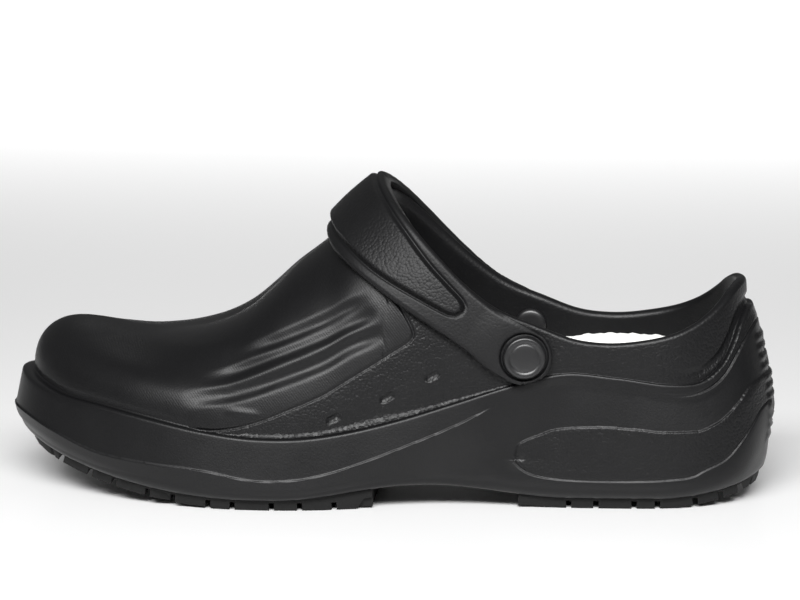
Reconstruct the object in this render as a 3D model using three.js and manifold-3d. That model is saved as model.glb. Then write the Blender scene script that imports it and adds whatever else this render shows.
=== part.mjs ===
// A left chef clog: one-piece moulded foam shell, two rubber tread pads, loose insole, heel strap swung
// forward over the instep, and a press button at each end of the strap. Millimetres, +Z up. The toe points
// to -X, the heel to +X, and the outer (lateral) side of the foot faces -Y.
import * as THREE from "three";
import { ParametricGeometry } from "three/addons/geometries/ParametricGeometry.js";
import { mergeGeometries, mergeVertices } from "three/addons/utils/BufferGeometryUtils.js";
import Module from "manifold-3d";

const wasm = await Module();
wasm.setup();

// Driving sizes of the last and the shell
const LENGTH = 290; // outer length
const BALL_WIDTH = 107.5; // outer width over the ball of the foot
const INSTEP_HEIGHT = 115; // ridge height at the front of the collar
const HEEL_HEIGHT = 81.5; // collar height at the back of the heel
const QUARTER_HEIGHT = 61; // lowest point of the collar, at the sides
const RIM_HEIGHT = 53; // foxing rim beside the heel, and the measure of the lines below it
const SEAT_HEIGHT = 33; // footbed of the shell under the heel
const SEAT_FILLET = 5; // between the footbed and the wall
const WALL = 4; // foam wall of the upper
const LIP = 2; // rounded lip on the collar
const SWEEP = 10; // how far the side wall leans in at most
const RIM_STEP = 1.3; // height of the ledge on top of the foxing rim
const TOE_SETBACK = 29; // from the toe's tip back to the front end of the ridge
const HEEL_SETBACK = 36; // from the heel's back to the rear end of the ridge
const SPINE_SETBACK = 34; // ends of the sole's centre line

// Sole and tread
const TREAD_HEIGHT = 4.2; // rubber pads under the foam
const GROOVE_DEPTH = 3;
const GROOVE_WIDTH = 2;
const LUGS_ACROSS = 4; // over the ball
const LUG_TAPER = 0.9; // lugs are narrower at the floor
const PAD_INSET = 0.8; // pads stand back from the foam's lower edge
const PAD_END_RISE = 1.6; // the pads thin out towards the arch
const PAD_END_LENGTH = 16;
const FOREPAD_FROM = 0.512; // station of the forefoot pad's rear step
const HEELPAD_UNTIL = 0.325; // station of the heel pad's front step
const TOE_SPRING = 19; // rise of the tread at the toe's tip
const TOE_SPRING_FROM = 0.66;
const TOE_SPRING_CURVE = 2.1;
const HEEL_BEVEL = 7.5; // rise of the tread at the heel's back
const HEEL_BEVEL_UNTIL = 0.14;
const HEEL_BEVEL_CURVE = 1.7;
const ARCH_RISE = 5; // foam arch over the pads' level
const ARCH_AT = 0.45;
const ARCH_REACH = 0.19;

// Stations of the grooves between the lugs, from each pad's step at the arch
const FOREPAD_GROOVES = [0.56, 0.604, 0.64, 0.691, 0.723, 0.77, 0.804, 0.851, 0.885, 0.927];
const HEELPAD_GROOVES = [0.26, 0.225, 0.176, 0.146, 0.097, 0.064, 0.039];

// Fits
const GAP = 0.3; // between pieces that touch
const STRAP_GAP = 0.4; // strap on the upper
const HOLE_CLEARANCE = 0.35; // button shaft in its holes
const INSOLE_THICKNESS = 4.5;
const INSOLE_RIM = 3; // thickness of the insole's cupped edge
const INSOLE_SIDE_GAP = 0.4; // between that edge and the wall
const INSOLE_DISH_BACK = 1; // how far the foot of its cup stands off the edge
const INSOLE_DISH_RISE = 0.3; // share of the edge's height at which it stands

// Strap and buttons
const STRAP_THICKNESS = 4.2;
const STRAP_PAD_RISE = 2.8; // raised pad on the strap
const STRAP_BEAD_RISE = 1.6; // raised rear edge of the strap
const STRAP_END_RADIUS = 10.3;
const STRAP_APEX_AT = 0.545; // station where the strap crosses the ridge
const BUTTON_AT = 0.318;
const BUTTON_LEVEL = 0.5; // share of the height between the rim and the collar
const CAP_RADIUS = 7.8;
const CAP_FACE_RADIUS = 7;
const CAP_HEIGHT = 2.2;
const SHAFT_RADIUS = 3;
const STUD_RADIUS = 6.1;
const STUD_HEIGHT = 1.8;
const BUTTON_PLAY = 0.6; // cap off the strap, stud off the wall

// Dimples on the quarter, by station and share of the rim height
const DIMPLES = [
  { at: 0.556, level: 0.672 },
  { at: 0.493, level: 0.808 },
  { at: 0.433, level: 0.968 },
];
const DIMPLE_RADIUS = 1.9;
const DIMPLE_DEPTH = 1.5;

// Flutes sunk into the sides of the vamp: station, share of the upper's arc, and width
const FLUTE_DEPTH = 1;
const FLUTES = [
  [
    { at: 0.695, arc: 0.43, width: 0.4 },
    { at: 0.65, arc: 0.417, width: 3 },
    { at: 0.58, arc: 0.41, width: 3.6 },
    { at: 0.51, arc: 0.372, width: 3.6 },
  ],
  [
    { at: 0.745, arc: 0.3, width: 0.4 },
    { at: 0.69, arc: 0.334, width: 3 },
    { at: 0.6, arc: 0.35, width: 3.6 },
    { at: 0.502, arc: 0.32, width: 3.6 },
  ],
  [
    { at: 0.76, arc: 0.16, width: 0.4 },
    { at: 0.7, arc: 0.21, width: 3 },
    { at: 0.6, arc: 0.253, width: 3.6 },
    { at: 0.487, arc: 0.243, width: 3.6 },
  ],
];

// The raised island round the heel: station, and the heights of its foot and top in shares of RIM_HEIGHT
const ISLAND_RISE = 0.45;
const ISLAND_DEPTH = 1.5; // how far it is let into the wall
const ISLAND = [
  { at: 0.328, foot: 0.36, top: 0.4 },
  { at: 0.32, foot: 0.3, top: 0.49 },
  { at: 0.297, foot: 0.25, top: 0.54 },
  { at: 0.265, foot: 0.226, top: 0.59 },
  { at: 0.2, foot: 0.222, top: 0.598 },
  { at: 0.105, foot: 0.247, top: 0.565 },
  { at: 0.062, foot: 0.349, top: 0.64 },
  { at: 0.0236, foot: 0.6, top: 0.846 },
];

// Ribs stacked on the heel's back, from and until in shares of the rim height
const RIB_PITCH = 4.6;
const RIB_HEIGHT = 2.2;
const RIB_REACH = 0.7;
const RIB_HALF_WIDTH = 13;
const RIBS_FROM = 0.42;
const RIBS_UNTIL = 1.2;

// Mesh density
const QUARTER_COLUMNS = 16;
const COLUMN_CROWDING = 0.24;
const LIP_ROWS = 3;
const ROUND_SEGMENTS = 18;
const SIMPLIFY = 0.07; // how far a solid's surface may move when its needless corners go

// Stations run from 0 at the heel's back to 1 at the toe's tip. Going round the shoe is an angle from 0 at
// the heel's back over the outer side to PI at the toe's tip, and over the inner side back to 2 PI.
const angleOf = (station) => Math.acos(1 - 2 * THREE.MathUtils.clamp(station, 0, 1));
const stationOf = (angle) => (1 - Math.cos(angle)) / 2;
const stationAt = (x) => 0.5 - x / LENGTH;
const xAt = (station) => (0.5 - station) * LENGTH;
const sideOf = (angle) => (Math.sin(angle) >= 0 ? -1 : 1);
const mix = THREE.MathUtils.lerp;

// Smooth curves through the rows of a table, one function of the station for each named column. An odd
// column is 0 at both ends and changes sign beyond them, as a half width does.
function curves(names, rows, place = (station) => station, odd = "") {
  const knots = rows.map((row) => place(row[0]));
  const last = knots.length - 1;
  const byName = {};
  names.slice(1).forEach((name, index) => {
    const values = rows.map((row) => row[index + 1]);
    const rate = (i) => (values[i + 1] - values[i]) / (knots[i + 1] - knots[i]);
    const slopes = knots.map((knot, i) => {
      if (i === 0) return name === odd ? rate(0) : 0;
      if (i === last) return name === odd ? rate(last - 1) : 0;
      const before = knot - knots[i - 1];
      const after = knots[i + 1] - knot;
      return (rate(i) * before + rate(i - 1) * after) / (before + after);
    });
    byName[name] = (station) => {
      const at = THREE.MathUtils.clamp(place(station), knots[0], knots[last]);
      const i = Math.max(knots.findIndex((knot) => at <= knot) - 1, 0);
      const span = knots[i + 1] - knots[i];
      const s = (at - knots[i]) / span;
      const level = values[i] * (1 + 2 * s) * (1 - s) ** 2 + values[i + 1] * s * s * (3 - 2 * s);
      return level + span * s * (1 - s) * (slopes[i] * (1 - s) - slopes[i + 1] * s);
    };
  });
  return byName;
}

const FILLET_MIDDLE = 0.3 * SEAT_FILLET; // how far the seat fillet's middle stands off its corner

// The outline seen from above at its widest level: half width and sideways drift in shares of BALL_WIDTH
const plan = curves(
  ["at", "half", "drift"],
  [
    [0.0, 0.0, 0.0],
    [0.01, 0.13, 0.0],
    [0.03, 0.223, 0.0],
    [0.07, 0.302, 0.0],
    [0.13, 0.347, -0.002],
    [0.2, 0.358, -0.005],
    [0.3, 0.356, -0.012],
    [0.4, 0.365, -0.026],
    [0.5, 0.4, -0.033],
    [0.6, 0.454, -0.026],
    [0.68, 0.486, 0.002],
    [0.76, 0.484, 0.033],
    [0.83, 0.449, 0.058],
    [0.89, 0.388, 0.077],
    [0.94, 0.307, 0.093],
    [0.975, 0.209, 0.107],
    [0.993, 0.112, 0.112],
    [1.0, 0.0, 0.112],
  ],
  angleOf,
  "half",
);

// Heights of the lines that run round the wall, in shares of RIM_HEIGHT: under and over the heel island,
// the foxing's crease, which becomes the lower groove of the heel ridge, and the rim
const lines = curves(
  ["at", "low", "high", "crease", "rim"],
  [
    [0.0, 0.71, 0.9, 1.26, 1.35],
    [0.008, 0.68, 0.87, 1.24, 1.34],
    [0.02, 0.57, 0.81, 1.13, 1.25],
    [0.035, 0.44, 0.73, 1.0, 1.12],
    [0.055, 0.31, 0.64, 0.88, 0.99],
    [0.085, 0.24, 0.58, 0.79, 0.885],
    [0.13, 0.22, 0.57, 0.79, 0.87],
    [0.2, 0.215, 0.61, 0.85, 0.92],
    [0.27, 0.225, 0.585, 0.88, 0.945],
    [0.32, 0.26, 0.44, 0.82, 0.885],
    [0.346, 0.29, 0.4, 0.765, 0.845],
    [0.41, 0.27, 0.36, 0.57, 0.735],
    [0.474, 0.23, 0.29, 0.4, 0.63],
    [0.537, 0.18, 0.225, 0.287, 0.55],
    [0.6, 0.13, 0.175, 0.235, 0.505],
    [0.652, 0.125, 0.17, 0.235, 0.5],
    [0.73, 0.165, 0.23, 0.3, 0.54],
    [0.797, 0.215, 0.29, 0.375, 0.6],
    [0.867, 0.285, 0.365, 0.45, 0.66],
    [0.93, 0.355, 0.43, 0.515, 0.695],
    [0.97, 0.42, 0.475, 0.53, 0.745],
    [1.0, 0.46, 0.5, 0.54, 0.8],
  ],
  angleOf,
);

// How far the wall stands back from the outline on each line, and the ledge's width, in shares of SWEEP
const lean = curves(
  ["at", "edge", "low", "high", "crease", "rim", "ledge"],
  [
    [0.0, 0.28, 0.0, 0.12, 0.52, 0.7, 0.26],
    [0.03, 0.3, 0.0, 0.1, 0.46, 0.6, 0.26],
    [0.07, 0.34, 0.0, 0.08, 0.38, 0.42, 0.2],
    [0.12, 0.36, 0.0, 0.08, 0.3, 0.3, 0.1],
    [0.2, 0.38, 0.0, 0.1, 0.28, 0.28, 0.08],
    [0.3, 0.43, 0.06, 0.16, 0.26, 0.24, 0.1],
    [0.36, 0.5, 0.22, 0.2, 0.08, 0.12, 0.14],
    [0.45, 0.55, 0.33, 0.24, 0.0, 0.14, 0.2],
    [0.54, 0.5, 0.24, 0.13, 0.0, 0.2, 0.24],
    [0.65, 0.46, 0.2, 0.1, 0.0, 0.25, 0.24],
    [0.8, 0.46, 0.2, 0.1, 0.0, 0.25, 0.24],
    [0.93, 0.5, 0.22, 0.1, 0.0, 0.26, 0.36],
    [1.0, 0.52, 0.2, 0.08, 0.0, 0.26, 0.48],
  ],
  angleOf,
);

// The ridge of the upper, carried on over the opening to shape its walls: height in shares of
// INSTEP_HEIGHT, sideways place in shares of BALL_WIDTH, and how full the upper's section is
const ridge = curves(
  ["at", "height", "drift", "fullness"],
  [
    [0.0, 1.05, 0.0, 2.0],
    [0.2, 1.1, 0.0, 2.1],
    [0.4, 1.13, 0.02, 2.3],
    [0.46, 1.085, 0.026, 2.3],
    [0.503, 1.005, 0.03, 2.2],
    [0.54, 0.925, 0.034, 2.1],
    [0.568, 0.852, 0.036, 2.0],
    [0.592, 0.802, 0.038, 1.98],
    [0.619, 0.747, 0.04, 1.98],
    [0.646, 0.678, 0.044, 2.0],
    [0.673, 0.614, 0.048, 2.05],
    [0.7, 0.57, 0.052, 2.1],
    [0.727, 0.543, 0.055, 2.2],
    [0.781, 0.52, 0.06, 2.3],
    [0.834, 0.53, 0.068, 2.35],
    [0.888, 0.55, 0.078, 2.35],
    [1.0, 0.553, 0.09, 2.35],
  ],
);

// The collar's height over QUARTER_HEIGHT: shares of the rise to the instep and of the rise to the heel
const collar = curves(
  ["at", "front", "back"],
  [
    [0.0, 0.0, 1.0],
    [0.006, 0.0, 0.99],
    [0.02, 0.0, 0.88],
    [0.045, 0.0, 0.67],
    [0.075, 0.0, 0.43],
    [0.11, 0.0, 0.22],
    [0.16, 0.0, 0.06],
    [0.21, 0.0, 0.0],
    [0.257, 0.03, 0.0],
    [0.3, 0.12, 0.0],
    [0.36, 0.27, 0.0],
    [0.4, 0.45, 0.0],
    [0.437, 0.655, 0.0],
    [0.47, 0.855, 0.0],
    [0.503, 1.03, 0.0],
    [0.56, 1.45, 0.0],
    [1.0, 4.0, 0.0],
  ],
);

// The footbed's height and the height of the insole's cupped edge, in shares of SEAT_HEIGHT
const footbed = curves(
  ["at", "seat", "cup"],
  [
    [0.0, 0.97, 1.6],
    [0.12, 0.95, 1.62],
    [0.25, 0.98, 1.62],
    [0.35, 0.88, 1.42],
    [0.45, 0.7, 1.02],
    [0.55, 0.53, 0.76],
    [0.65, 0.46, 0.66],
    [0.75, 0.48, 0.68],
    [0.85, 0.57, 0.78],
    [0.93, 0.7, 0.92],
    [1.0, 0.82, 1.06],
  ],
);

// Rise of the whole bottom at the toe and the heel, the foam's underside and the lugs' feet at one x
function endRise(x) {
  const station = stationAt(x);
  const toe = Math.max(station - TOE_SPRING_FROM, 0) / (1 - TOE_SPRING_FROM);
  const heel = Math.max(HEEL_BEVEL_UNTIL - station, 0) / HEEL_BEVEL_UNTIL;
  return TOE_SPRING * toe ** TOE_SPRING_CURVE + HEEL_BEVEL * heel ** HEEL_BEVEL_CURVE;
}

function deck(x) {
  const reach = THREE.MathUtils.clamp((stationAt(x) - ARCH_AT) / ARCH_REACH, -1, 1);
  return TREAD_HEIGHT + endRise(x) + ARCH_RISE * Math.cos((reach * Math.PI) / 2) ** 2;
}

function tread(x) {
  const step = Math.min(Math.abs(x - xAt(FOREPAD_FROM)), Math.abs(x - xAt(HEELPAD_UNTIL)));
  const end = Math.max(1 - step / PAD_END_LENGTH, 0);
  return endRise(x) + PAD_END_RISE * end ** 2;
}

// The outline, a point set in from it, and the ends of the lines that the patches close on
function outline(angle) {
  const station = stationOf(angle);
  const y = BALL_WIDTH * (plan.drift(station) + sideOf(angle) * plan.half(station));
  return new THREE.Vector3((LENGTH / 2) * Math.cos(angle), y, 0);
}

function inset(angle, distance) {
  const step = 1e-3;
  const along = outline(angle + step).sub(outline(angle - step));
  const inward = new THREE.Vector3(along.y, -along.x, 0).normalize();
  return outline(angle).addScaledVector(inward, distance);
}

function spine(angle) {
  const end = LENGTH / 2 - SPINE_SETBACK;
  const x = mix(end, -end, stationOf(angle));
  return new THREE.Vector3(x, BALL_WIDTH * plan.drift(stationAt(x)), 0);
}

function crest(angle) {
  const x = mix(LENGTH / 2 - HEEL_SETBACK, TOE_SETBACK - LENGTH / 2, stationOf(angle));
  const station = stationAt(x);
  return new THREE.Vector3(x, BALL_WIDTH * ridge.drift(station), INSTEP_HEIGHT * ridge.height(station));
}

const collarHeight = (station) =>
  QUARTER_HEIGHT +
  collar.front(station) * (INSTEP_HEIGHT - QUARTER_HEIGHT) +
  collar.back(station) * (HEEL_HEIGHT - QUARTER_HEIGHT);

// A point of the side wall on or between two of its lines. Below the low line the wall curves under.
function wallPoint(angle, from, to, share, grow) {
  const station = stationOf(angle);
  const edge = inset(angle, SWEEP * lean.edge(station));
  const height = (line) => (line === "edge" ? deck(edge.x) : RIM_HEIGHT * lines[line](station));
  const under = from === "edge" ? Math.sqrt(1 - (1 - share) ** 2) : share;
  const back = SWEEP * mix(lean[from](station), lean[to](station), under);
  return inset(angle, back - grow).setZ(mix(height(from), height(to), share));
}

// A point of the upper: its section is a superellipse quarter from the ledge up to the ridge. The arc is
// an angle, 0 at the ledge and PI / 2 at the ridge, and grow moves the surface out or, below 0, in.
function upperPoint(angle, arc, grow) {
  const station = stationOf(angle);
  const power = 2 / ridge.fullness(station);
  const foot = inset(angle, SWEEP * (lean.rim(station) + lean.ledge(station)) - grow);
  foot.z = RIM_HEIGHT * lines.rim(station) + RIM_STEP;
  const top = crest(angle);
  top.z += grow;
  const out = Math.max(Math.cos(arc), 0) ** power;
  const up = Math.sin(arc) ** power;
  return new THREE.Vector3(
    mix(top.x, foot.x, out),
    mix(top.y, foot.y, out),
    mix(foot.z, top.z, up),
  );
}

// The arc at which the upper reaches the collar, and PI / 2 ahead of the opening
function collarArc(angle) {
  const station = stationOf(angle);
  const foot = RIM_HEIGHT * lines.rim(station) + RIM_STEP;
  const share = (collarHeight(station) - foot) / (crest(angle).z - foot);
  return Math.asin(THREE.MathUtils.clamp(share, 0, 1) ** (ridge.fullness(station) / 2));
}

// The angle of the collar's front end, where its height meets the ridge
function openingAngle() {
  let open = angleOf(0.35);
  let closed = angleOf(0.65);
  while (closed - open > 1e-9) {
    const middle = (open + closed) / 2;
    if (collarHeight(stationOf(middle)) < crest(middle).z) open = middle;
    else closed = middle;
  }
  return closed;
}
const OPENING_ANGLE = openingAngle();

// Columns go round the shoe, four quarters of them, one column on each side of the collar's front end
const COLUMNS = 4 * QUARTER_COLUMNS;

function columnAngle(column) {
  const turned = column > COLUMNS / 2 ? COLUMNS - column : column;
  const crowd = (s) => s + (COLUMN_CROWDING / Math.PI) * Math.sin(Math.PI * s);
  const s = turned / QUARTER_COLUMNS;
  const angle =
    s <= 1 ? OPENING_ANGLE * crowd(s) : Math.PI - (Math.PI - OPENING_ANGLE) * crowd(2 - s);
  return column > COLUMNS / 2 ? 2 * Math.PI - angle : angle;
}

// A patch of the surface from a list of rows, each a function of the angle, over a span of columns
function patch(rows, firstColumn = 0, lastColumn = COLUMNS) {
  const slices = lastColumn - firstColumn;
  return new ParametricGeometry(
    (u, v, target) => {
      const column = (lastColumn - Math.round(u * slices) + COLUMNS) % COLUMNS;
      target.copy(rows[Math.round(v * (rows.length - 1))](columnAngle(column)));
    },
    slices,
    rows.length - 1,
  );
}

// The same faces seen from their other side
function turned(geometry) {
  const index = geometry.index.array;
  for (let i = 0; i < index.length; i += 3) [index[i], index[i + 1]] = [index[i + 1], index[i]];
  return geometry;
}

// Solids: closed meshes for joining and cutting
function solid(...geometries) {
  const bare = geometries.map((geometry) => {
    const copy = geometry.index ? geometry.toNonIndexed() : geometry.clone();
    copy.deleteAttribute("normal");
    copy.deleteAttribute("uv");
    return copy;
  });
  const merged = mergeVertices(mergeGeometries(bare), 1e-4);
  const index = merged.index.array;
  const triVerts = [];
  for (let i = 0; i < index.length; i += 3) {
    const [a, b, c] = [index[i], index[i + 1], index[i + 2]];
    if (a !== b && b !== c && c !== a) triVerts.push(a, b, c);
  }
  const vertProperties = merged.attributes.position.array;
  const mesh = new wasm.Mesh({ numProp: 3, vertProperties, triVerts: new Uint32Array(triVerts) });
  return new wasm.Manifold(mesh);
}

function geometryOf(made) {
  const { numProp, vertProperties, triVerts } = made.simplify(SIMPLIFY).getMesh();
  const geometry = new THREE.BufferGeometry();
  const corners = [];
  for (let i = 0; i < vertProperties.length; i += numProp) corners.push(...vertProperties.slice(i, i + 3));
  geometry.setAttribute("position", new THREE.Float32BufferAttribute(corners, 3));
  geometry.setIndex(new THREE.Uint32BufferAttribute(triVerts, 1));
  geometry.computeVertexNormals();
  return geometry;
}

function boxBetween(low, high) {
  const size = high.clone().sub(low);
  const middle = low.clone().add(high).multiplyScalar(0.5);
  return new THREE.BoxGeometry(size.x, size.y, size.z).translate(middle.x, middle.y, middle.z);
}

// Rows of the underside, the wall and the upper, from the sole's centre line up
const SOLE_SHARES = [0, 0.7, 1];
const WALL_ROWS = [
  ["edge", "low", 0.16],
  ["edge", "low", 0.5],
  ["edge", "low", 1],
  ["low", "high", 0.5],
  ["low", "high", 1],
  ["high", "crease", 0.5],
  ["high", "crease", 1],
  ["crease", "rim", 0.6],
  ["crease", "rim", 1],
];
const UPPER_ARCS = [0, 0.07, 0.15, 0.23, 0.31, 0.39, 0.48, 0.58, 0.7, 0.84, 1];
const INNER_ARCS = [1, 0.78, 0.56, 0.36, 0.18, 0];

function undersideRows(grow) {
  return SOLE_SHARES.map((share) => (angle) => {
    const edge = inset(angle, SWEEP * lean.edge(stationOf(angle)) - grow);
    const point = spine(angle).lerp(edge, share);
    return point.setZ(deck(point.x));
  });
}

function wallRows(grow) {
  return WALL_ROWS.map(
    ([from, to, share]) =>
      (angle) =>
        wallPoint(angle, from, to, share, grow),
  );
}

function upperRows(grow, reach) {
  return UPPER_ARCS.map((share) => (angle) => upperPoint(angle, share * reach(angle), grow));
}

// The whole outer form without its opening, grown by some thickness
function form(grow) {
  return solid(
    patch([...undersideRows(grow), ...wallRows(grow), ...upperRows(grow, () => Math.PI / 2)]),
  );
}

// Shell: the outer skin up to the collar, the inner skin down to the footbed, and the lip between them
const innerBack = (station) => SWEEP * (lean.rim(station) + lean.ledge(station)) + WALL;

function bedPoint(angle, share, back, rise) {
  const edge = inset(angle, innerBack(stationOf(angle)) + back);
  const point = spine(angle).lerp(edge, share);
  return point.setZ(SEAT_HEIGHT * footbed.seat(stationAt(point.x)) + rise);
}

function innerRows() {
  const arcs = INNER_ARCS.map((share) => (angle) => upperPoint(angle, share * collarArc(angle), -WALL));
  return [
    ...arcs,
    (angle) => bedPoint(angle, 1, 0, SEAT_FILLET),
    (angle) => bedPoint(angle, 1, FILLET_MIDDLE, FILLET_MIDDLE),
    (angle) => bedPoint(angle, 1, SEAT_FILLET, 0),
    (angle) => bedPoint(angle, 0, SEAT_FILLET, 0),
  ];
}

function lipDirection(angle) {
  const station = stationOf(angle);
  const reach = 0.01;
  const ahead = Math.min(station + reach, 1);
  const behind = Math.max(station - reach, 0);
  const slope = (collarHeight(ahead) - collarHeight(behind)) / (xAt(ahead) - xAt(behind));
  return new THREE.Vector3(-slope, 0, 1).normalize();
}

function lipRows() {
  return Array.from({ length: LIP_ROWS + 1 }, (_, row) => (angle) => {
    const turn = (row / LIP_ROWS) * Math.PI;
    const outer = upperPoint(angle, collarArc(angle), 0);
    const inner = upperPoint(angle, collarArc(angle), -WALL);
    const across = (1 - Math.cos(turn)) / 2;
    return outer.lerp(inner, across).addScaledVector(lipDirection(angle), LIP * Math.sin(turn));
  });
}

function shell() {
  const outer = patch([...undersideRows(0), ...wallRows(0), ...upperRows(0, collarArc)]);
  const lip = patch(lipRows(), -QUARTER_COLUMNS, QUARTER_COLUMNS);
  return solid(outer, lip, patch(innerRows()));
}

// Ribs on the heel's back, slices of the grown form
function heelRibs() {
  const grown = form(RIB_REACH);
  const low = RIB_HALF_WIDTH;
  let ribs = null;
  for (let z = RIBS_FROM * RIM_HEIGHT; z < RIBS_UNTIL * RIM_HEIGHT; z += RIB_PITCH) {
    const slice = boxBetween(
      new THREE.Vector3(LENGTH / 2 - HEEL_SETBACK / 2, -low, z),
      new THREE.Vector3(LENGTH / 2 + SWEEP, low, z + RIB_HEIGHT),
    );
    const rib = grown.intersect(solid(slice));
    ribs = ribs ? ribs.add(rib) : rib;
  }
  const inside = boxBetween(
    new THREE.Vector3(LENGTH / 2 - HEEL_SETBACK, -low * 2, 0),
    new THREE.Vector3(LENGTH / 2 - SWEEP - WALL, low * 2, INSTEP_HEIGHT),
  );
  return ribs.subtract(solid(inside));
}

// The buttons' axes: a place on the upper and the way out of it
function upperAt(side, station, height) {
  const angle = side < 0 ? angleOf(station) : 2 * Math.PI - angleOf(station);
  const foot = upperPoint(angle, 0, 0).z;
  const share = (height - foot) / (crest(angle).z - foot);
  const arc = Math.asin(share ** (ridge.fullness(station) / 2));
  const point = upperPoint(angle, arc, 0);
  const step = 0.02;
  const round = upperPoint(angle + step, arc, 0).sub(upperPoint(angle - step, arc, 0));
  const up = upperPoint(angle, arc + step, 0).sub(upperPoint(angle, arc - step, 0));
  const out = round.cross(up).normalize();
  if (out.y * side < 0) out.negate();
  return { point, out };
}

const BUTTON_HEIGHT = mix(RIM_HEIGHT * lines.rim(BUTTON_AT), collarHeight(BUTTON_AT), BUTTON_LEVEL);
const BUTTONS = {
  lateral: upperAt(-1, BUTTON_AT, BUTTON_HEIGHT),
  medial: upperAt(1, BUTTON_AT, BUTTON_HEIGHT),
};

// Geometry made along +Y is stood on a place, pointing out of the upper
function standOn(geometry, { point, out }) {
  const turn = new THREE.Quaternion().setFromUnitVectors(new THREE.Vector3(0, 1, 0), out);
  return geometry.clone().applyQuaternion(turn).translate(point.x, point.y, point.z);
}

function shaftHole(button) {
  const reach = 2 * (WALL + STRAP_THICKNESS + CAP_HEIGHT);
  const radius = SHAFT_RADIUS + HOLE_CLEARANCE;
  return solid(standOn(new THREE.CylinderGeometry(radius, radius, 2 * reach, ROUND_SEGMENTS), button));
}

// The island: the wall's crust, grown, within the island's outline
function island() {
  const seen = (line) => ISLAND.map((row) => {
    const wall = inset(angleOf(row.at), SWEEP * lean.high(row.at));
    return new THREE.Vector2(wall.x, RIM_HEIGHT * row[line]);
  });
  const top = seen("top");
  const foot = seen("foot");
  const back = LENGTH / 2 + SWEEP;
  const ends = [top[top.length - 1].clone().setX(back), foot[foot.length - 1].clone().setX(back)];
  const outer = form(ISLAND_RISE).subtract(form(-ISLAND_DEPTH));
  return outer.intersect(across(new THREE.Shape([...top, ...ends, ...foot.reverse()])));
}

// A flute: the upper's crust within the flute's outline
function flute(rows) {
  const edge = (way) => rows.map(({ at, arc, width }) => {
    const { x, z } = upperPoint(angleOf(at), (arc * Math.PI) / 2, 0);
    return new THREE.Vector2(x, z + (way * width) / 2);
  });
  const outer = form(FLUTE_DEPTH).subtract(form(-FLUTE_DEPTH));
  return outer.intersect(across(new THREE.Shape([...edge(1), ...edge(-1).reverse()])));
}

function clogBody() {
  let body = shell().add(heelRibs()).add(island());
  for (const rows of FLUTES) body = body.subtract(flute(rows));
  for (const { at, level } of DIMPLES) {
    const dimple = new THREE.CylinderGeometry(DIMPLE_RADIUS, DIMPLE_RADIUS, 2 * DIMPLE_DEPTH, 10);
    for (const side of [-1, 1]) {
      body = body.subtract(solid(standOn(dimple, upperAt(side, at, level * RIM_HEIGHT))));
    }
  }
  return body.subtract(shaftHole(BUTTONS.lateral)).subtract(shaftHole(BUTTONS.medial));
}

// Tread pads: one slab under the whole foam, cut to each pad's length and grooved from below
function treadSlab() {
  const ring = (share, back, height) => (angle) => {
    const edge = inset(angle, SWEEP * lean.edge(stationOf(angle)) + back);
    const point = spine(angle).lerp(edge, share);
    return point.setZ(height(point.x));
  };
  const top = (x) => deck(x) - GAP;
  const foot = PAD_INSET + LUG_TAPER;
  return solid(
    patch([
      ...SOLE_SHARES.map((share) => ring(share, foot, tread)),
      ring(1, PAD_INSET, top),
    ]),
    turned(patch(SOLE_SHARES.map((share) => ring(share, share === 1 ? PAD_INSET : 0, top)))),
  );
}

function crossGroove(x) {
  const slope = Math.atan2(tread(x + 1) - tread(x - 1), 2);
  return new THREE.BoxGeometry(GROOVE_WIDTH, 2 * BALL_WIDTH, 2 * GROOVE_DEPTH)
    .rotateY(-slope)
    .translate(x, 0, tread(x));
}

function lengthGroove(y, from, until) {
  const steps = 12;
  const shape = new THREE.Shape();
  shape.moveTo(from, tread(from) - GROOVE_DEPTH);
  for (let i = 0; i <= steps; i += 1) {
    const x = mix(from, until, i / steps);
    shape.lineTo(x, tread(x) + GROOVE_DEPTH);
  }
  for (let i = steps; i > 0; i -= 1) {
    const x = mix(from, until, i / steps);
    shape.lineTo(x, tread(x) - GROOVE_DEPTH);
  }
  return new THREE.ExtrudeGeometry(shape, { depth: GROOVE_WIDTH, bevelEnabled: false })
    .rotateX(Math.PI / 2)
    .translate(0, y + GROOVE_WIDTH / 2, 0);
}

function treadPad(from, until, grooves) {
  const reach = SWEEP + BALL_WIDTH;
  const span = boxBetween(
    new THREE.Vector3(from, -reach, -reach),
    new THREE.Vector3(until, reach, reach),
  );
  let pad = treadSlab().intersect(solid(span));
  for (const station of grooves) pad = pad.subtract(solid(crossGroove(xAt(station))));
  const pitch = BALL_WIDTH / LUGS_ACROSS;
  for (let lug = 0; lug < LUGS_ACROSS; lug += 1) {
    const y = (lug + 0.5 - LUGS_ACROSS / 2) * pitch;
    pad = pad.subtract(solid(lengthGroove(y, from - GAP, until + GAP)));
  }
  return pad;
}

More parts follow.
